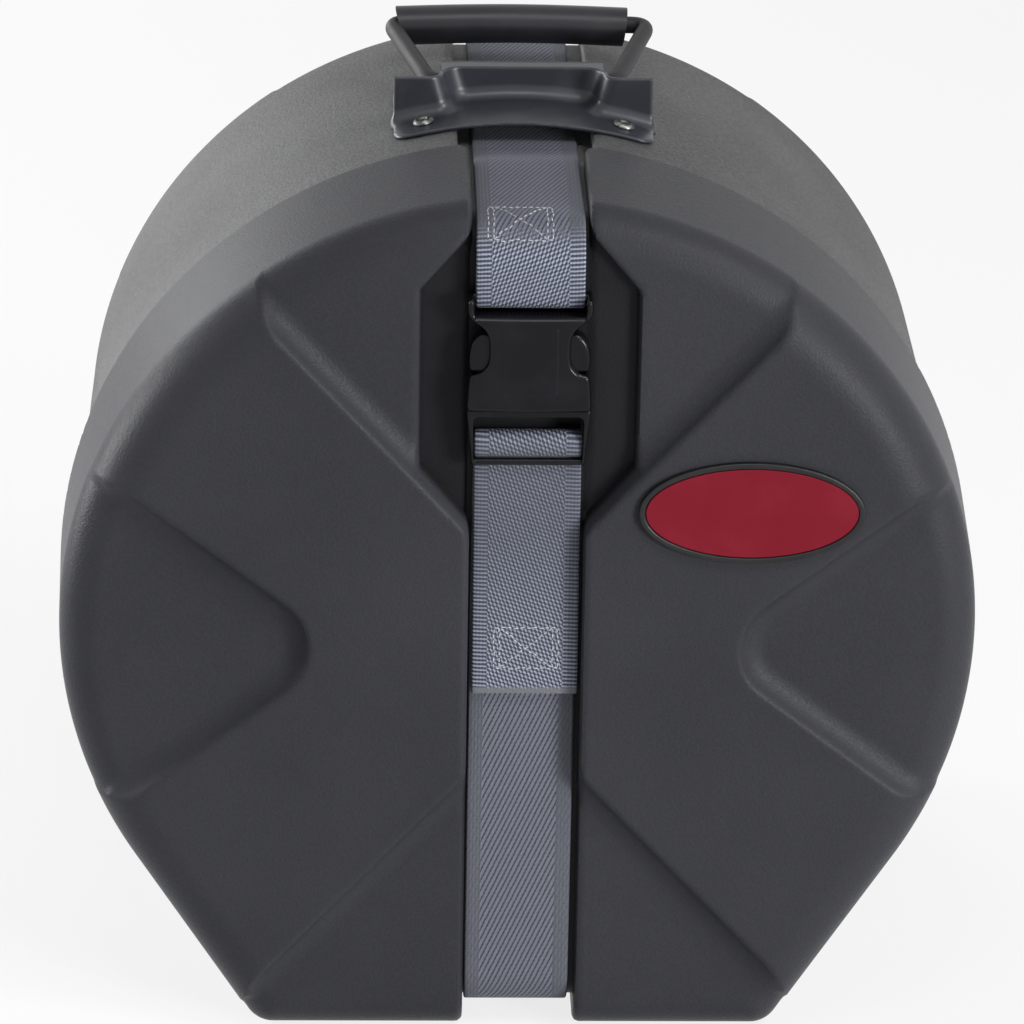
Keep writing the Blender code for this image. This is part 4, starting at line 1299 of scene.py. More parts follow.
@dataclass(frozen=True)
class Run:
    """One run of the strap: its path in depth and height, and how its weave changes along it.

    Stops pair a distance along the path with a value, and the value eases between stops.
    """

    name: str
    node: str
    path: Array
    start: float = 0.0
    weave: tuple[tuple[float, float], ...] = ((0.0, 0.0),)
    # glow: how brightly the floats are painted lit along the run, a painted sheen.
    glow: tuple[tuple[float, float], ...] = ((0.0, 0.0),)
    sway: tuple[tuple[float, float], ...] = ((0.0, 0.0),)
    lift: tuple[tuple[float, float], ...] = ((0.0, 0.0),)
    hem: tuple[tuple[float, float], ...] = ((0.0, 0.0),)
    flow: int = 1


def stops(along: Array, pairs: tuple[tuple[float, float], ...]) -> Array:
    """Values at distances along a path, straight between stops."""
    table = np.array(pairs)
    return np.interp(along, table[:, 0], table[:, 1])


@dataclass
class Strap:
    """The woven strap in five runs, with its two sewn boxes."""

    half: float = 0.0240
    thick: float = 0.0022
    step: float = 0.0011
    lid_top: float = 0.4004
    lid_low: float = 0.0106
    base_top: float = 0.3954
    base_low: float = 0.0156
    lid_join: float = -0.1187
    top_join: float = -0.0310
    low_join: float = -0.0300
    lid_edge: float = -0.0600
    face: float = -0.1384
    back: float = 0.1474
    bend: float = 0.0194
    front_bend: float = 0.0180
    bar_y: float = -0.1420
    bar_wrap: float = 0.0036
    socket_bar: float = 0.3663
    ladder_bar: float = 0.2974
    ladder_half: float = 0.0016
    outer_bar: float = 0.2909
    tail: float = -0.1409
    tail_end: float = 0.1750
    lap_end: float = 0.3790
    stitch: float = 0.0029
    stitch_share: float = 0.68
    stray: float = 0.00022
    seed: int = 7
    double_share: float = 0.09
    lap_box: tuple[float, float, float, float] = (-0.0190, 0.0098, 0.0050, 0.0262)
    tail_box: tuple[float, float, float, float] = (-0.0142, 0.0150, 0.2072, 0.1875)
    thread: float = 0.00030

    def section(self) -> Array:
        """The strap's section: flat on both sides and round along both selvages.

        Returns:
            Places across and out of the strap.
        """
        edge = self.thick / 2
        turn = np.radians(np.linspace(90, -90, 7))
        right = np.stack([self.half - edge + edge * np.cos(turn), edge * np.sin(turn)], axis=1)
        flat = np.linspace(-self.half + edge, self.half - edge, 22)[1:-1]
        top = np.stack([flat, np.full(flat.size, edge)], axis=1)
        return np.concatenate([top, right, -top, -right])

    def frames(self, run: Run) -> tuple[Array, Array, Array]:
        """A run's places, outward directions and distances, lifted as the run says.

        The outward direction is the path's own direction turned a quarter about the X axis.

        Args:
            run: The run.

        Returns:
            The places, the directions and the distances.
        """
        path, along = resample(run.path, self.step)
        slope = np.gradient(path, axis=0)
        slope /= np.linalg.norm(slope, axis=1, keepdims=True)
        out = np.stack([slope[:, 1], -slope[:, 0]], axis=1)
        path = path + out * stops(along, run.lift)[:, None]
        centre = np.concatenate([(SHIFT + stops(along, run.sway))[:, None], path], axis=1)
        return centre, np.concatenate([np.zeros((len(out), 1)), out], axis=1), along

    def strip(self, run: Run) -> bpy.types.Object:
        """Carry the section along a run, with a UV map in metres and the weave's attributes.

        Args:
            run: The run.

        Returns:
            The piece.
        """
        centre, out, along = self.frames(run)
        side = np.broadcast_to([1.0, 0.0, 0.0], out.shape)
        section = self.section()
        points, faces = carry(centre, side, out, section)
        count = len(section)
        across = np.concatenate([np.tile(section[:, 0], len(along)), [0, 0]])
        along = np.concatenate([np.repeat(along, count), along[[0, -1]]])
        uv = np.stack([across, along * run.flow + run.start], axis=1)
        made = mesh_piece(run.name, points, faces, 60, uv)
        # glow carries the painted light on the floats.
        for name, pairs in (("weave", run.weave), ("glow", run.glow), ("hem", run.hem)):
            store(made, name, stops(along, pairs))
        return made

    def sew(
        self, name: str, run: Run, seams: Sequence[Sequence[tuple[float, float]]]
    ) -> bpy.types.Object:
        """Sew lines on a run: small round-ended stitches, laid end to end.

        Args:
            name: The piece's name.
            run: The run of strap.
            seams: Lines of places, each across and along the strap.

        Returns:
            The stitches as one piece.
        """
        centre, out, along = self.frames(run)
        ends = []
        for seam in seams:
            line, _ = resample(np.array(seam), self.stitch)
            ends.append(np.stack([line[:-1], line[1:]], axis=1))
        ends = np.concatenate(ends)
        ends += np.random.default_rng(self.seed).normal(0, self.stray, (len(ends), 1, 2))
        where = np.stack([np.interp(ends[..., 1], along, c) for c in centre.T], axis=-1)
        rise = np.stack([np.interp(ends[..., 1], along, c) for c in out.T], axis=-1)
        where = where + rise * (self.thick / 2 + self.thread * 0.4)
        where[..., 0] += ends[..., 0]
        axis = (where[:, 1] - where[:, 0]) * self.stitch_share
        middle, normal = where.mean(1), rise.mean(1)
        beside = np.cross(axis, normal)
        beside /= np.linalg.norm(beside, axis=1, keepdims=True)
        rings = np.array(
            [(-0.47, 0.25), (-0.40, 0.85), (-0.2, 1), (0.2, 1), (0.40, 0.85), (0.47, 0.25)]
        )
        sides = 6
        ring = circle(self.thread, sides)
        place = rings[:, 0][None, :, None, None] * axis[:, None, None, :]
        wide = rings[:, 1][None, :, None, None] * ring[:, 0][None, None, :, None]
        high = rings[:, 1][None, :, None, None] * ring[:, 1][None, None, :, None]
        body = middle[:, None, None] + place + wide * beside[:, None, None]
        body = body + high * normal[:, None, None]
        count, rows = len(ends), len(rings)
        points = body.reshape(count, -1, 3)
        poles = np.stack([middle - axis * 0.5, middle + axis * 0.5], axis=1)
        points = np.concatenate([points, poles], axis=1)
        first = np.arange(count)[:, None, None] * points.shape[1]
        quads = (grid_faces(rows, sides)[None] + first).reshape(-1, 4)
        fans = (end_fans(rows, sides)[None] + first).reshape(-1, 3)
        return mesh_piece(name, points.reshape(-1, 3), [quads, fans], 80)

    def boxed(self, left: float, right: float, start: float, end: float) -> list[list[tuple]]:
        """A box with doubled sides and a cross in it, as sewing lines.

        Args:
            left: Its left side, from the strap's middle.
            right: Its right side.
            start: Where it starts along the strap.
            end: Where it ends.

        Returns:
            Lines of places, each across and along the strap.
        """
        inset = (right - left) * self.double_share
        a, b = left + inset, right - inset
        return [
            [(left, start), (right, start), (right, end), (left, end), (left, start)],
            [(a, start), (a, end)],
            [(b, start), (b, end)],
            [(a, end), (b, start)],
            [(a, start), (b, end)],
        ]

    def upper(self) -> Run:
        """From the lid's top down its face, round the socket's bar and back up behind itself.

        Returns:
            The run.
        """
        front = self.bar_y - self.bar_wrap
        middle = (front + self.front_bend, self.lid_top - self.front_bend)
        path = np.concatenate([
            [(self.lid_join, self.lid_top)],
            arc(middle, self.front_bend, 90, 180, 24),
            arc((self.bar_y, self.socket_bar), self.bar_wrap, 180, 360, 20),
            [(self.face, self.lap_end)],
        ])
        weave = ((0.0180, 0.0), (0.0275, 1.0))
        # Painted light: the floats are painted dim near the start of the run and lit further along
        # it.
        glow = ((0.0180, 0.35), (0.0330, 1.0), (0.0500, 0.8))
        return Run("strap_upper_run", "strap_upper", path, 0.0, weave, glow)

    def lower(self) -> Run:
        """Up the lid's face, over the ladder's middle bar and down again as the loose tail.

        Returns:
            The run.
        """
        middle = (self.face + self.bend, self.lid_low + self.bend)
        high, low = self.ladder_bar + self.ladder_half, self.ladder_bar - self.ladder_half
        path = np.concatenate([
            [(self.lid_join, self.lid_low)],
            arc(middle, self.bend, 270, 180, 20),
            arc((self.bar_y, high), self.bar_wrap, 0, 180, 20),
            arc((self.bar_y, low), self.bar_wrap, 180, 222, 6),
            [(self.tail, self.outer_bar), (self.tail, self.tail_end)],
        ])
        _, along = resample(path, self.step)
        total = along[-1]
        turn = total - (self.outer_bar - self.tail_end)
        weave = ((turn - 0.030, 0.0), (turn - 0.024, 1.0))
        # Painted light: the floats are painted dim over the ladder's bar and the tail's top, lit
        # before it and towards the tail's end.
        glow = (
            (turn - 0.016, 0.95),
            (turn - 0.006, 0.25),
            (turn + 0.040, 0.25),
            (turn + 0.080, 0.70),
            (total, 0.95),
        )
        hem = ((total - 0.0034, 0.0), (total - 0.0030, 1.0))
        sway = ((0.0, -0.0010), (turn - 0.10, -0.0008), (turn - 0.02, 0.0), (total, 0.0004))
        lift = ((total - 0.045, 0.0), (total - 0.012, 0.0007), (total, 0.0009))
        return Run("strap_lower_run", "strap_lower", path, 0.0, weave, glow, sway, lift, hem, -1)

    def over_base(self) -> Run:
        """Over the base: down its back and forward below it.

        Returns:
            The run.
        """
        path = np.concatenate([
            [(self.top_join + FIT, self.base_top)],
            arc((self.back - self.bend, self.base_top - self.bend), self.bend, 90, 0, 20),
            arc((self.back - self.bend, self.base_low + self.bend), self.bend, 0, -90, 20),
            [(self.low_join + FIT, self.base_low)],
        ])
        return Run("strap_base_run", "strap_base", path[::-1])

    def crossing(self, name: str, lid: float, base: float, join: float) -> Run:
        """A run from the base to the lid, level at both ends and easing between their heights.

        Args:
            name: The CAD node's name.
            lid: The height at the lid.
            base: The height at the base.
            join: Where it starts in depth.

        Returns:
            The run.
        """
        share = np.linspace(0, 1, 40)
        y = join + (self.lid_join - join) * share
        fall = np.clip((y - join) / (self.lid_edge - 0.004 - join), 0, 1)
        z = base + (lid - base) * fall * fall * (3 - 2 * fall)
        return Run(f"{name}_run", name, np.stack([y, z], axis=1), -abs(self.lid_join - join))

    def build(self, finish: bpy.types.Material, thread: bpy.types.Material) -> None:
        """Make the five runs and the two sewn boxes.

        Args:
            finish: The webbing.
            thread: The sewing thread.
        """
        upper, lower = self.upper(), self.lower()
        for run, body in ((upper, Body.LID), (lower, Body.LID), (self.over_base(), Body.BASE)):
            mount(self.strip(run), finish, body, [run.node])
        for name, lid, base, join in (
            ("strap_top_stretch", self.lid_top, self.base_top, self.top_join),
            ("strap_bottom_stretch", self.lid_low, self.base_low, self.low_join),
        ):
            run = self.crossing(name, lid, base, join)
            made = mount(self.strip(run), finish, None, [name])
            start, end = (SHIFT, join - FIT, base), (SHIFT, self.lid_join + FIT, lid)
            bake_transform(made)
        top_box = self.boxed(*self.lap_box)
        mount(self.sew("lap_stitches", upper, top_box), thread, Body.LID)
        _, along = resample(lower.path, self.step)
        at = along[-1] + self.tail_end
        left, right, start, end = self.tail_box
        tail_box = self.boxed(left, right, at - start, at - end)
        mount(self.sew("tail_stitches", lower, tail_box), thread, Body.LID)


# Side-release buckle

SOCKET_OUTLINE = (
    (-10.0, 116.0), (26.6, 116.0), (27.75, 116.9), (27.5, 121.0), (27.0, 129.4), (26.4, 132.6),
    (24.6, 133.3), (21.6, 134.2), (19.2, 136.6), (18.0, 139.9), (17.8, 144.9), (18.1, 149.9),
    (19.2, 153.3), (21.6, 155.8), (24.6, 157.8), (26.9, 160.0), (27.75, 162.6), (27.75, 166.4),
    (27.2, 168.2), (26.1, 168.5), (25.0, 168.2), (24.55, 166.4), (24.55, 162.8), (24.2, 161.2),
    (22.6, 160.4), (-10.0, 160.4),
)
ARM_OUTLINE = (
    (15.0, 119.0), (15.0, 116.2), (17.2, 115.5), (19.5, 116.2), (19.5, 119.0), (19.5, 130.4),
    (20.2, 133.0), (22.4, 133.6), (25.2, 133.8), (26.6, 135.2), (27.0, 138.4), (26.8, 142.9),
    (25.8, 147.0), (23.6, 150.2), (20.8, 152.0), (17.6, 152.0), (15.4, 150.6), (15.0, 146.4),
)
FRAME_OUTLINE = (
    (-10.0, 87.4), (20.0, 87.4), (24.6, 87.6), (25.4, 90.6), (25.7, 96.0), (26.4, 103.0),
    (27.1, 110.0), (27.6, 115.0), (26.6, 115.7), (-10.0, 115.7),
)
GATE_OUTLINE = (
    (-10.0, 80.0), (24.1, 80.0), (24.15, 92.0), (24.5, 99.0), (24.55, 109.0), (24.3, 111.6),
    (22.0, 112.4), (-10.0, 112.4),
)


@dataclass
class Buckle:
    """The socket, the ladder that plugs into it, and the two latch arms."""

    half: float = 0.02775
    front: float = -0.1540
    back: float = -0.1373
    split: float = 0.3160
    top: float = 0.3685
    slot: float = 0.3604
    slot_half: float = 0.02455
    head: float = 0.3552
    round: float = 0.0020
    ledge_round: float = 0.0036
    crown: float = 0.0011
    bar_radius: float = 0.0022
    bar_y: float = -0.1420
    bar_z: float = 0.3663
    bore_half: float = 0.02475
    bore_thick: float = 0.0104
    panel_half: float = 0.0125
    panel_rise: float = 0.00030
    plug_low: float = 0.2874
    plug_front: float = -0.1498
    gate_top: float = 0.3124
    ladder_z: float = 0.2974
    outer_z: float = 0.2890
    outer_y: float = -0.1439
    outer_radius: float = 0.0016
    tongue: Point = (0.008, 0.002, 0.3497)
    arm_inner: float = 0.0150
    arm_thick: float = 0.0098
    arm_low: float = 0.3160
    arm_round: float = 0.0021
    panel_low: float = 0.008
    panel_edge: float = 0.0005
    slot_round: float = 0.0010
    roof: float = 0.001
    socket_weld: float = 0.0008
    plug_weld: float = 0.0005
    rail_fall: float = 0.0026
    rail_round: float = 0.0012
    gate_round: float = 0.0006
    ladder_half: float = 0.0016
    bar_fillet: float = 0.0008
    tongue_root: float = 0.001
    pitch: float = 0.0005

    @property
    def middle(self) -> float:
        """The middle of the buckle's thickness."""
        return (self.front + self.back) / 2

    def socket(self, x: Array, y: Array, z: Array) -> Array:
        """The socket: an outline with a crowned front, a faint panel, a rolled ledge, a bore.

        Args:
            x: Places across.
            y: Places in depth.
            z: Heights.

        Returns:
            Signed distances, negative inside.
        """
        across = np.abs(x - SHIFT)
        plan = loop_distance(rounded_loop(SOCKET_OUTLINE), across, z - CENTRE)
        low = self.split + self.panel_low
        panel = np.maximum(across - self.panel_half, slab(z, low, self.head))
        raised = np.clip(-panel / self.panel_edge, 0, 1) * self.panel_rise
        toward = self.front + self.panel_rise - raised + self.crown * (across / self.half) ** 2 - y
        body = rounded_corner(plan, np.maximum(toward, y - self.back), self.round)
        ledge = rounded_corner(toward, z - self.slot, self.ledge_round)
        body = np.maximum(body, join_round(ledge, self.slot_half - across, self.slot_round))
        room = np.maximum(across - self.bore_half, np.abs(y - self.middle) - self.bore_thick / 2)
        body = np.maximum(body, -np.maximum(room, z - self.head + self.roof))
        bar = capsule(y - self.bar_y, z - self.bar_z, self.bar_radius)
        return np.minimum(body, np.maximum(bar, across - self.slot_half - self.socket_weld))

    def plug(self, x: Array, y: Array, z: Array) -> Array:
        """The ladder: a frame whose rails thin out downwards, two bars and the guide tongue.

        Args:
            x: Places across.
            y: Places in depth.
            z: Heights.

        Returns:
            Signed distances, negative inside.
        """
        across, up = np.abs(x - SHIFT), z - CENTRE
        fall = np.clip((self.gate_top - z) / (self.gate_top - self.plug_low), 0, 1)
        facing = np.maximum(self.plug_front + self.rail_fall * fall * fall - y, y - self.back)
        plan = loop_distance(rounded_loop(FRAME_OUTLINE), across, up)
        body = rounded_corner(plan, facing, self.rail_round)
        gate = loop_distance(rounded_loop(GATE_OUTLINE), across, up)
        body = meet_round(body, -gate, self.gate_round)
        outer = capsule(y - self.outer_y, z - self.outer_z, self.outer_radius)
        ladder = capsule(y - self.bar_y, z - self.ladder_z, self.bar_radius, self.ladder_half)
        beside = across - self.slot_half - self.plug_weld
        bars = np.maximum(join_round(outer, body, self.bar_fillet), beside)
        bars = np.minimum(bars, np.maximum(ladder, beside))
        half, thick, tip = self.tongue
        tongue = np.maximum(across - half, np.abs(y - self.middle) - thick)
        tongue = np.maximum(tongue, slab(z, self.gate_top + self.tongue_root, tip))
        return np.minimum(np.minimum(body, bars), tongue)

    def arm(self, x: Array, y: Array, z: Array) -> Array:
        """The right latch arm: a bar from its root, and a domed shoulder in the notch."""
        plan = loop_distance(rounded_loop(ARM_OUTLINE), x - SHIFT, z - CENTRE)
        return rounded_corner(plan, np.abs(y - self.middle) - self.arm_thick / 2, self.arm_round)

    def left_arm(self, x: Array, y: Array, z: Array) -> Array:
        """The left latch arm, a mirror image about the buckle's middle."""
        return self.arm(2 * SHIFT - x, y, z)

    def mesh(
        self, name: str, shape: Field, low: float, high: float, side: int = 0
    ) -> bpy.types.Object:
        """Mesh a field between two heights.

        Args:
            name: The piece's name.
            shape: The distance field.
            low: The lower height.
            high: The upper height.
            side: 1 for the buckle's right side, -1 for its left, 0 for both.

        Returns:
            The piece.
        """
        margin, pitch = self.pitch * 2, self.pitch
        reach = self.half + margin
        left = SHIFT - reach if side <= 0 else SHIFT + self.arm_inner - margin
        right = SHIFT + reach if side >= 0 else SHIFT - self.arm_inner + margin
        x = lines((left, pitch), (right, pitch))
        y = lines((self.front - margin, pitch), (self.back + margin, pitch))
        z = lines((low - margin, pitch), (high + margin, pitch))
        return DualSurface(shape, x, y, z).piece(name, crease=38)

    def build(self, finish: bpy.types.Material) -> None:
        """Make the four mouldings.

        Args:
            finish: The pieces' material.
        """
        socket = self.mesh("socket_moulding", self.socket, self.split, self.top)
        mount(socket, finish, Body.LID, ["buckle_socket"])
        plug = self.mesh("ladder_moulding", self.plug, self.plug_low, self.tongue[2])
        mount(plug, finish, Body.LID, ["buckle_plug"])
        right = self.mesh("latch_arm_right", self.arm, self.arm_low, self.head, 1)
        mount(right, finish, Body.LATCH_RIGHT, ["prong_right"])
        left = self.mesh("latch_arm_left", self.left_arm, self.arm_low, self.head, -1)
        mount(left, finish, Body.LATCH_LEFT, ["prong_left"])


# Handle


@dataclass
class Handle:
    """The pressed bracket, the bail with its grip, and the rivets."""

    plate: float = 0.2047
    sheet: float = 0.002
    width: float = 0.1195
    front: float = -0.023
    length: float = 0.072
    corner: float = 0.008
    wing_y: float = -0.001
    tunnel_y: float = 0.015
    tunnel_length: float = 0.025
    tunnel_half: float = 0.03825
    wall_top: float = 0.4209
    fall: float = 0.003
    roof_drop: float = 0.0028
    bend_inner: float = 0.0090
    bend_outer: float = 0.0068
    foot_round: float = 0.0062
    pitch: float = 0.00052
    pitch_across: float = 0.0010
    edge_round: float = 0.00095
    opening_slant: float = 0.28
    opening_inset: float = 0.0012
    roof_ease: float = 0.012
    roof_round: float = 0.0028
    roof_inset: float = 0.0006
    trim_drop: float = 0.003
    trim_gap: float = 0.001
    plate_low: float = 0.3925
    pivot: Point = (SHIFT, 0.0213, 0.411)
    pivot_half: float = 0.04275
    stub: float = 0.028
    bail_half: float = 0.0613
    bail_length: float = 0.065
    rest: float = math.radians(7)
    rod_radius: float = 0.004
    rod_bend: float = 0.009
    rod_step: float = 0.0015
    tip_share: float = 0.82
    tip_reach: float = 0.004
    grip_radius: float = 0.0092
    grip_left: float = -0.0586
    grip_right: float = 0.0513
    grip_slants: tuple[float, float] = (-0.0034, 0.0012)
    grip_lip: float = 0.0006
    grip_top: float = 0.0003
    grip_arch: float = 0.0014
    drum: float = 0.2044
    bore_reach: float = 0.01
    rivet_spacing: float = 0.091
    rivet_rows: tuple[tuple[str, float], ...] = (("front", -0.010), ("rear", 0.040))
    rivet_head: float = 0.005
    rivet_rise: float = 0.002
    rivet_shank: float = 0.0024
    rivet_end: float = 0.1967

    def rivet_spots(self) -> list[tuple[str, float, float]]:
        """Each rivet's name, its angle round the drum and its place in depth.

        Returns:
            A row for each rivet.
        """
        return [
            (f"{row}_{side}", math.acos((SHIFT + sign * self.rivet_spacing / 2) / self.drum), y)
            for row, y in self.rivet_rows
            for side, sign in (("left", -1), ("right", 1))
        ]

    def bracket(self, x: Array, y: Array, z: Array) -> Array:
        """Distance from the bracket.

        Its plate is a sheet round the drum's axis within a round-cornered outline. Its front wall
        is a sheet behind a surface that steps back between the wings, narrower towards the plate.
        Its tunnel is a sheet round a box behind that wall, open at both ends.

        Args:
            x: Places across.
            y: Places in depth.
            z: Heights.

        Returns:
            Signed distances, negative inside.
        """
        across = np.abs(x - SHIFT)
        half, sheet = self.width / 2, self.sheet
        radial = np.hypot(x, z - CENTRE)
        mid = self.front + self.length / 2
        plan = rounded_corner(across - half, np.abs(y - mid) - self.length / 2, self.corner)
        plate = rounded_corner(slab(radial, self.plate, self.plate + sheet), plan, self.edge_round)
        lean = (self.wall_top - z) * self.opening_slant
        beside = across - self.tunnel_half + self.opening_inset + lean
        opening = meet_round(y - self.tunnel_y, beside, self.bend_inner)
        space = join_round(y - self.wing_y, opening, self.bend_outer)
        wall = np.abs(space - sheet / 2) - sheet / 2
        trim = np.maximum(z - self.wall_top, across - half)
        wall = rounded_corner(wall, trim, self.edge_round)
        wall = np.maximum(wall, self.plate + sheet / 2 - radial)
        back = self.tunnel_y + self.tunnel_length
        roof_y = np.maximum(self.tunnel_y - y, y - back)
        slope = np.clip((y - back + self.roof_ease) / self.roof_ease, 0, 1)
        roof_z = z - self.wall_top + self.roof_drop + self.fall * slope * slope
        box = rounded_corner(roof_y, roof_z, self.roof_round)
        tunnel = np.abs(box + sheet / 2) - sheet / 2
        tunnel = np.maximum(tunnel, across - self.tunnel_half + self.roof_inset)
        tunnel = np.maximum(tunnel, self.plate + sheet / 2 - radial)
        tunnel = np.maximum(tunnel, self.wing_y + sheet - y)
        hidden = (across > self.tunnel_half - self.bend_inner - lean) & (y < self.tunnel_y + sheet)
        hidden = hidden & (z < self.wall_top - self.trim_drop)
        tunnel = np.where(hidden, np.maximum(tunnel, self.trim_gap), tunnel)
        solid = join_round(plate, wall, self.foot_round)
        solid = np.minimum(solid, tunnel)
        for _, angle, place in self.rivet_spots():
            aside = x * math.sin(angle) - (z - CENTRE) * math.cos(angle)
            bore = np.hypot(aside, y - place) - self.rivet_shank - FIT
            solid = np.maximum(solid, -np.maximum(bore, self.plate - self.bore_reach - radial))
        return solid

    def rod_path(self) -> Array:
        """The bent rod's path: stub, leg, bar, leg and stub, with a smooth bend at each corner.

        A bend is a quadratic curve through the points that lie a bend's length either side of its
        corner.

        Returns:
            Places in the bail's plane.
        """
        half, stub = self.bail_half, self.pivot_half - self.stub
        flat = np.array([(stub, 0.0), (self.pivot_half, 0.0), (half, self.bail_length)])
        corners = np.concatenate([flat, flat[::-1] * (-1, 1)])
        share = np.linspace(0, 1, 17)[:, None]
        parts = [corners[:1]]
        for before, here, after in zip(corners, corners[1:], corners[2:]):
            start = here + (before - here) / np.linalg.norm(before - here) * self.rod_bend
            end = here + (after - here) / np.linalg.norm(after - here) * self.rod_bend
            parts.append(start * (1 - share) ** 2 + 2 * here * share * (1 - share) + end * share**2)
        parts.append(corners[-1:])
        path, _ = resample(np.concatenate(parts), self.rod_step)
        return path

    def in_plane(self, path: Array) -> tuple[Array, Array, Array]:
        """Places of a path in the bail's plane, with unit vectors across it and out of it.

        Args:
            path: Places in the plane.

        Returns:
            The places and both directions.
        """
        cos, sin = math.cos(self.rest), math.sin(self.rest)
        flat = np.stack([path[:, 0], path[:, 1] * cos, path[:, 1] * sin], axis=1)
        centre = flat + np.array(self.pivot)
        slope = np.gradient(centre, axis=0)
        slope /= np.linalg.norm(slope, axis=1, keepdims=True)
        out = np.broadcast_to([0.0, -sin, cos], slope.shape)
        side = np.cross(out, slope)
        side /= np.linalg.norm(side, axis=1, keepdims=True)
        return centre, side, np.cross(slope, side)

    def rod(self) -> bpy.types.Object:
        """The rod, a circle carried along its path with its two ends rounded off.

        Returns:
            The piece.
        """
        path = self.rod_path()
        centre, side, out = self.in_plane(path)
        length = np.concatenate([[0], np.cumsum(np.linalg.norm(np.diff(path, axis=0), axis=1))])
        to_end = np.minimum(length, length[-1] - length)
        size = np.minimum(self.tip_share + to_end / self.tip_reach, 1.0)
        section = circle(self.rod_radius, 28)[None] * size[:, None, None]
        return mesh_piece("bail_rod_bent", *carry(centre, side, out, section), crease=50)

    def grip(self) -> bpy.types.Object:
        """The sleeve round the bail's bar: a thick tube, slightly arched, with slanted ends.

        A ring's place is its share of the length plus a shift that grows with the height round the
        ring, which slants the cut. Rings run along the outside, turn in over rounded lips and come
        back along the bore.

        Returns:
            The piece.
        """
        left, right = self.grip_left, self.grip_right
        slant_left, slant_right = self.grip_slants
        turn = np.radians(np.linspace(0, 90, 5))
        lip = self.grip_lip
        out_share = np.concatenate([
            lip * (1 - np.sin(turn)), np.linspace(lip, right - left - lip, 60)[1:-1],
            right - left - lip * (1 - np.sin(turn[::-1])),
        ])
        out_size = self.grip_radius - lip + lip * np.cos(turn)[::-1]
        sizes = np.concatenate([out_size, np.full(58, self.grip_radius), out_size[::-1]])
        back = np.linspace(right - left, 0, 60)
        along = np.concatenate([out_share, back])
        radius = np.concatenate([sizes, np.full(60, self.rod_radius + FIT)])
        angle = np.arange(48) * (2 * math.pi / 48)
        share = along / along.max()
        slant = slant_left * (1 - share) + slant_right * share
        height = radius[:, None] * np.sin(angle)
        across = left + along[:, None] + slant[:, None] * (height / self.grip_radius - 1)
        droop = self.grip_top - self.grip_arch * (1 - np.sin(share * math.pi))
        cos, sin = math.cos(self.rest), math.sin(self.rest)
        out = self.bail_length + radius[:, None] * np.cos(angle)
        up = height + droop[:, None]
        rings = np.stack([across, out * cos - up * sin, out * sin + up * cos], axis=-1)
        rings += np.array(self.pivot)
        faces = grid_faces(*rings.shape[:2], wrap_rows=True)
        return mesh_piece("grip_sleeve", rings.reshape(-1, 3), faces, 45)

    def rivet(self, name: str, angle: float, y: float) -> bpy.types.Object:
        """A rivet turned from its profile: domed rim, sunk middle, shank.

        Args:
            name: The piece's name.
            angle: Its angle round the drum.
            y: Its place in depth.

        Returns:
            The piece.
        """
        seat = self.plate + self.sheet + FIT
        head, rise = self.rivet_head, self.rivet_rise
        profile = np.array([
            (0.0009, seat + rise * 0.45),
            (head * 0.36, seat + rise * 0.46),
            (head * 0.45, seat + rise * 0.90),
            (head * 0.60, seat + rise),
            (head * 0.80, seat + rise * 0.82),
            (head * 0.94, seat + rise * 0.48),
            (head, seat + rise * 0.12),
            (head * 0.99, seat),
            (self.rivet_shank, seat),
            (self.rivet_shank, self.rivet_end),
        ])
        out = np.array([math.cos(angle), 0.0, math.sin(angle)])
        centre = np.array([0.0, y, CENTRE]) + profile[::-1, 1:] * out
        side = np.broadcast_to([0.0, 1.0, 0.0], centre.shape)
        section = circle(1.0, 28)[None] * profile[::-1, :1, None]
        points, faces = carry(centre, side, np.cross(out, side), section)
        return mesh_piece(name, points, faces, 50)

    def build(
        self,
        steel: bpy.types.Material,
        rod: bpy.types.Material,
        vinyl: bpy.types.Material,
        zinc: bpy.types.Material,
    ) -> None:
        """Make the bracket, rod, grip and rivets, and dress the washers.

        Args:
            steel: The bracket's coat.
            rod: The rod's coat.
            vinyl: The grip's skin.
            zinc: The rivets' and washers' plating.
        """
        margin, pitch = self.pitch * 3, self.pitch
        half = self.width / 2
        wide = self.pitch_across
        x = lines((SHIFT - half - margin, wide), (SHIFT + half + margin, wide))
        y = lines((self.front - margin, pitch), (self.front + self.length + margin, pitch))
        z = lines((self.plate_low, pitch), (self.wall_top + margin, pitch))
        bracket = DualSurface(self.bracket, x, y, z).piece("bracket_pressing", crease=38)
        mount(bracket, steel, Body.BASE, ["handle_bracket"])
        mount(self.rod(), rod, Body.BAIL, ["bail_rod"])
        mount(self.grip(), vinyl, Body.BAIL, ["grip"])
        for name, angle, place in self.rivet_spots():
            made = self.rivet(f"rivet_turned_{name}", angle, place)
            mount(made, zinc, Body.BASE, [f"rivet_{name}"])
            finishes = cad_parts[f"washer_{name}"].data.materials
            finishes.clear()
            finishes.append(zinc)


# Badge place


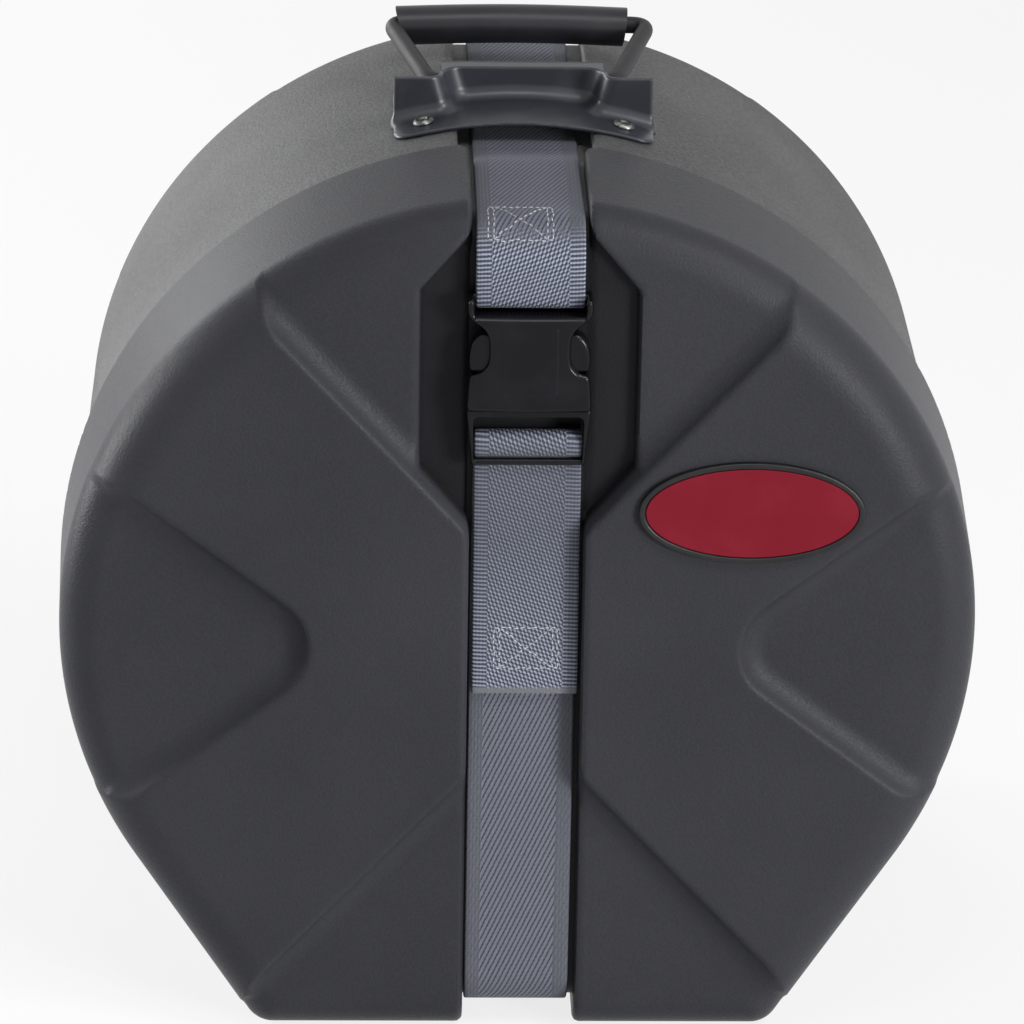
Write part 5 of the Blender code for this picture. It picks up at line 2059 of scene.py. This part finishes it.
@dataclass
class Badge:
    """A bare oval plate in a raised bezel."""

    place: tuple[float, float] = (0.10270, 0.26820)
    width: float = 0.101
    height: float = 0.0485
    rim: float = 0.0027
    back: float = -0.1513
    thick: float = 0.0026
    floor: float = 0.001
    edge: float = 0.0008
    bevel: float = 0.0003
    middle: float = 0.018
    steps: int = 144

    def turned(self, name: str, profile: Sequence[tuple[float, float]]) -> bpy.types.Object:
        """Carry a profile of inset and depth round an oval, closed at both ends in its middle.

        A point is the oval's middle, plus the cosine and sine of its angle times the oval's half
        width and half height less the inset.

        Args:
            name: The piece's name.
            profile: Pairs of an inset and a depth.

        Returns:
            The piece.
        """
        count = self.steps
        turn = np.arange(count) * (2 * math.pi / count)
        inset, y = np.array(profile).T
        a, b = self.width / 2 - inset[:, None], self.height / 2 - inset[:, None]
        x = self.place[0] + a * np.cos(turn)
        z = self.place[1] + b * np.sin(turn)
        rings = np.stack([x, np.broadcast_to(y[:, None], x.shape), z], axis=-1)
        points = np.concatenate([rings.reshape(-1, 3), rings[:1].mean(1), rings[-1:].mean(1)])
        faces = [grid_faces(len(inset), count), end_fans(len(inset), count)]
        return mesh_piece(name, points, faces, 35)

    def build(self, bezel: bpy.types.Material, plate: bpy.types.Material) -> None:
        """Make the bezel and the plate in it.

        Args:
            bezel: The bezel's material.
            plate: The plate's material.
        """
        front, middle = self.back - self.thick, self.middle
        edge, rim = self.edge, self.rim
        turn = np.radians(np.linspace(0, 90, 5))
        outer = list(zip(edge - edge * np.cos(turn), front + edge - edge * np.sin(turn)))
        inner = list(zip(rim - edge + edge * np.sin(turn), front + edge - edge * np.cos(turn)))
        floor = self.back - self.floor
        inside = [(rim, floor), (middle, floor)]
        profile = [(middle, self.back), (0.0, self.back), *outer, *inner, *inside]
        made = self.turned("bezel_ring", profile)
        mount(made, bezel, Body.LID, ["badge_bezel"])
        rim = rim + FIT
        top = front + FIT
        profile = [
            (middle, floor - FIT),
            (rim, floor - FIT),
            (rim, top + self.bevel),
            (rim + self.bevel, top),
            (middle, top),
        ]
        made = self.turned("badge_plate", profile)
        mount(made, plate, Body.LID, ["badge_insert"])


# Lining


@dataclass
class Lining(Moulding):
    """Foam against the ends, the sides and the floor."""

    soft: float = 0.0030
    crown_reach: float = 0.02
    pad_corner: float = 0.004
    end_radius: float = 0.175
    end_bottom: float = 0.164
    end_thick: float = 0.008
    lid_pad: float = -0.1322
    back_pad: float = 0.1332
    side_inner: float = 0.1882
    side_outer: float = 0.1979
    side_low: float = math.radians(-20)
    side_high: float = math.radians(62)
    front: float = -0.1065
    back: float = 0.117
    floor_low: float = 0.0098
    floor_thick: float = 0.010
    floor_inner: float = 0.03955
    floor_outer: float = 0.0956

    def cushion(self, plan: Array, low: Array, swell: float = 0.0008) -> Array:
        """A pad's distance from its outline and its flat sides, with soft swollen edges."""
        crown = swell * np.clip(-plan / self.crown_reach, 0, 1)
        return rounded_corner(plan, low + swell - crown, self.soft)

    def end(self, start: float) -> Field:
        """The field of a disc that starts at a depth.

        Args:
            start: The depth it starts at.

        Returns:
            The field.
        """

        def shape(x: Array, y: Array, z: Array) -> Array:
            """Distance from the disc."""
            plan = self.outline(x, z - CENTRE, self.end_radius, self.end_bottom)
            return self.cushion(plan, slab(y, start, start + self.end_thick))

        return shape

    def side(self, sign: int) -> Field:
        """The field of a curved side pad.

        Args:
            sign: 1 for the right side, -1 for the left.

        Returns:
            The field.
        """

        def shape(x: Array, y: Array, z: Array) -> Array:
            """Distance from the pad, laid round the drum's axis.

            Args:
                x: Places across.
                y: Places in depth.
                z: Heights.

            Returns:
                Signed distances.
            """
            across, up = x * sign, z - CENTRE
            radial = np.hypot(across, up)
            turn = np.arctan2(up, across)
            middle = (self.side_low + self.side_high) / 2
            half = (self.side_high - self.side_low) / 2
            arc_way = (np.abs(turn - middle) - half) * self.side_inner
            plan = rounded_corner(arc_way, slab(y, self.front, self.back), self.pad_corner)
            return self.cushion(plan, slab(radial, self.side_inner, self.side_outer), 0.0)

        return shape

    def strip(self, sign: int) -> Field:
        """The field of a floor pad.

        Args:
            sign: 1 for the right side, -1 for the left.

        Returns:
            The field.
        """

        def shape(x: Array, y: Array, z: Array) -> Array:
            """Distance from the pad, flat on the floor.

            Args:
                x: Places across.
                y: Places in depth.
                z: Heights.

            Returns:
                Signed distances.
            """
            across = (x - SHIFT) * sign
            wide = slab(across, self.floor_inner, self.floor_outer)
            plan = rounded_corner(wide, slab(y, self.front, self.back), self.pad_corner)
            return self.cushion(plan, slab(z, self.floor_low, self.floor_low + self.floor_thick))

        return shape

    def build(self, finish: bpy.types.Material) -> None:
        """Args:
            finish: The foam.
        """
        full = lines((-0.20, 0.0042), (0.20, 0.0042))
        right = lines((0.08, 0.0034), (0.205, 0.0034))
        left = lines((-0.205, 0.0034), (-0.08, 0.0034))
        tall = lines((0.12, 0.0034), (0.385, 0.0034))
        long = lines((self.front - 0.004, 0.0034), (self.front + 0.008, 0.0120),
                     (self.back - 0.008, 0.0034), (self.back + 0.004, 0.0034))
        thin = [lines((s - 0.003, 0.0018), (s + self.end_thick + 0.003, 0.0018))
                for s in (self.lid_pad, self.back_pad)]
        disc = lines((0.02, 0.0042), (0.39, 0.0042))
        low = lines((self.floor_low - 0.003, 0.0018), (self.floor_low + 0.013, 0.0018))
        floor_right = lines((0.035, 0.003), (0.105, 0.003))
        floor_left = lines((-0.100, 0.003), (-0.030, 0.003))
        for name, node, body, shape, grid in (
            ("lid_pad", "lid_face_pad", Body.LID, self.end(self.lid_pad), (full, thin[0], disc)),
            (
                "back_pad",
                "base_back_pad",
                Body.BASE,
                self.end(self.back_pad),
                (full, thin[1], disc),
            ),
            ("right_pad", "side_pad_right", Body.BASE, self.side(1), (right, long, tall)),
            ("left_pad", "side_pad_left", Body.BASE, self.side(-1), (left, long, tall)),
            ("right_floor", "floor_pad_right", Body.BASE, self.strip(1), (floor_right, long, low)),
            ("left_floor", "floor_pad_left", Body.BASE, self.strip(-1), (floor_left, long, low)),
        ):
            made = DualSurface(shape, *grid).piece(f"{name}_foam", crease=60)
            mount(made, finish, body, [node])


# Stage


@dataclass
class Studio:
    """Floor, lamps, world and camera."""

    camera_place: Point = (-0.0747, -2.4046, 1.2174)
    right: Point = (0.99957, -0.02461, 0.01563)
    up: Point = (-0.00484, 0.38851, 0.92143)
    lens: float = 193.16
    floor_size: float = 12.0
    floor_glow: float = 0.8
    ambient: float = 0.10
    white: Colour = (1.0, 1.0, 1.0)
    pale: Colour = (0.86, 0.86, 0.86)
    aim_height: float = 0.2
    lamps: tuple[tuple[str, Point, float, float], ...] = (
        ("above", (0.0, -1.1, 2.6), 0.8, 11),
        ("high_right", (1.6, -1.3, 2.4), 0.7, 31),
        ("low_right", (2.3, -2.3, 0.8), 0.9, 84),
        ("rear_left", (-1.9, 2.2, 1.1), 1.4, 30),
        ("left", (-2.5, 0.5, 0.45), 1.2, 90),
    )

    def camera(self) -> None:
        """Place the camera at the photograph's angle."""
        data = bpy.data.cameras.new("camera")
        data.lens, data.sensor_width = self.lens, 36.0
        made = bpy.data.objects.new("camera", data)
        bpy.context.scene.collection.objects.link(made)
        right, up = Vector(self.right).normalized(), Vector(self.up).normalized()
        back = right.cross(up).normalized()
        turn = Matrix((right, back.cross(right), back)).transposed().to_4x4()
        made.matrix_world = Matrix.Translation(self.camera_place) @ turn
        bpy.context.scene.camera = made

    def lamp(self, name: str, place: Point, size: float, power: float) -> None:
        """Hang a soft square lamp that faces the case.

        Args:
            name: The lamp's name.
            place: Where it hangs.
            size: Its side.
            power: Its power in watts.
        """
        data = bpy.data.lights.new(name, "AREA")
        data.size, data.energy = size, power
        made = bpy.data.objects.new(name, data)
        bpy.context.scene.collection.objects.link(made)
        made.location = place
        aim = Vector((0, 0, self.aim_height)) - made.location
        made.rotation_euler = aim.to_track_quat("-Z", "Y").to_euler()

    def seen(self, tree: Tree) -> Value:
        """One where a camera, glossy or transmission ray looks, otherwise zero.

        Args:
            tree: The tree to build it in.

        Returns:
            The value.
        """
        total = tree.add("ShaderNodeLightPath", output="Is Camera Ray")
        rays = total.socket.node.outputs
        for name in ("Is Glossy Ray", "Is Transmission Ray"):
            other = Value(tree, rays[name])
            total = tree.add("ShaderNodeMath", {"operation": "MAXIMUM"}, {0: total, 1: other})
        return total

    def world(self) -> None:
        """White where it is seen, and a soft grey light on the case."""
        world = bpy.data.worlds.new("studio")
        bpy.context.scene.world = world
        world.use_nodes = True
        tree, nodes = Tree(world.node_tree), world.node_tree.nodes
        lit = nodes["Background"]
        tree.put(lit.inputs["Color"], self.white)
        tree.put(lit.inputs["Strength"], self.ambient)
        grey = Value(tree, lit.outputs[0])
        white = tree.add("ShaderNodeBackground", {}, {"Color": self.white, "Strength": 1.0})
        mix = tree.add("ShaderNodeMixShader", {}, {0: self.seen(tree), 1: grey, 2: white})
        tree.put(nodes["World Output"].inputs[0], mix)

    def floor(self) -> None:
        """A wide pale floor, white where it is seen but for the case's shadow."""
        half = self.floor_size / 2
        corners = np.array([(-half, -half, 0), (half, -half, 0), (half, half, 0), (-half, half, 0)])
        made = mesh_piece("floor", corners, np.array([[0, 1, 2, 3]]))
        graph = Graph("floor")
        graph.set(Base_Color=self.pale, Roughness=0.8)
        plain, glow = Value(graph, graph.shader.outputs[0]), graph.add("ShaderNodeEmission")
        share = self.seen(graph) * self.floor_glow
        mix = graph.add("ShaderNodeMixShader", {}, {0: share, 1: plain, 2: glow})
        graph.put(graph.tree.nodes["Material Output"].inputs[0], mix)
        made.data.materials.append(graph.material)

    def build(self) -> None:
        """Set the stage."""
        self.camera()
        self.floor()
        self.world()
        for lamp in self.lamps:
            self.lamp(*lamp)
        bpy.context.scene.view_settings.view_transform = "Standard"


def main() -> None:
    """Build the case."""
    logging.basicConfig(level=logging.INFO, format="%(message)s")
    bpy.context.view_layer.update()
    Studio().build()
    lid = PebbledPlastic("lid_plastic", (0.031, 0.0315, 0.037), (0.041, 0.0415, 0.048))
    base = PebbledPlastic(
        "base_plastic",
        colour=(0.043, 0.043, 0.045),
        worn=(0.106, 0.106, 0.107),
        roughness=0.6,
        gloss=0.22,
        bloom=0.04,
        pebble_scale=620.0,
        pebble_depth=0.0007,
    )
    Lid().build(lid.make())
    Base().build(base.make())
    Strap().build(Webbing().make(), Thread().make())
    buckle = Moulded(
        "buckle_acetal", (0.003, 0.003, 0.0045), (0.007, 0.007, 0.010), roughness=0.24, gloss=0.19
    )
    Buckle().build(buckle.make())
    steel = CoatedSteel().make()
    rod = CoatedSteel(
        "coated_rod",
        (0.020, 0.020, 0.022),
        (0.032, 0.032, 0.033),
        roughness=0.5,
        gloss=0.2,
        coat=0.0,
    )
    vinyl = Moulded(
        "grip_vinyl", (0.010, 0.010, 0.013), (0.016, 0.016, 0.020), roughness=0.36, grain=700.0
    )
    Handle().build(steel, rod.make(), vinyl.make(), PlatedSteel().make())
    bezel = Moulded(
        "bezel_plastic", (0.006, 0.006, 0.007), (0.012, 0.012, 0.013), roughness=0.35
    )
    plate = Moulded(
        "badge_plate",
        (0.170, 0.006, 0.016),
        (0.190, 0.009, 0.020),
        roughness=0.38,
        grain=300.0,
        gloss=0.12,
    )
    Badge().build(bezel.make(), plate.make())
    Lining().build(Foam().make())


if __name__ == "__main__":
    main()
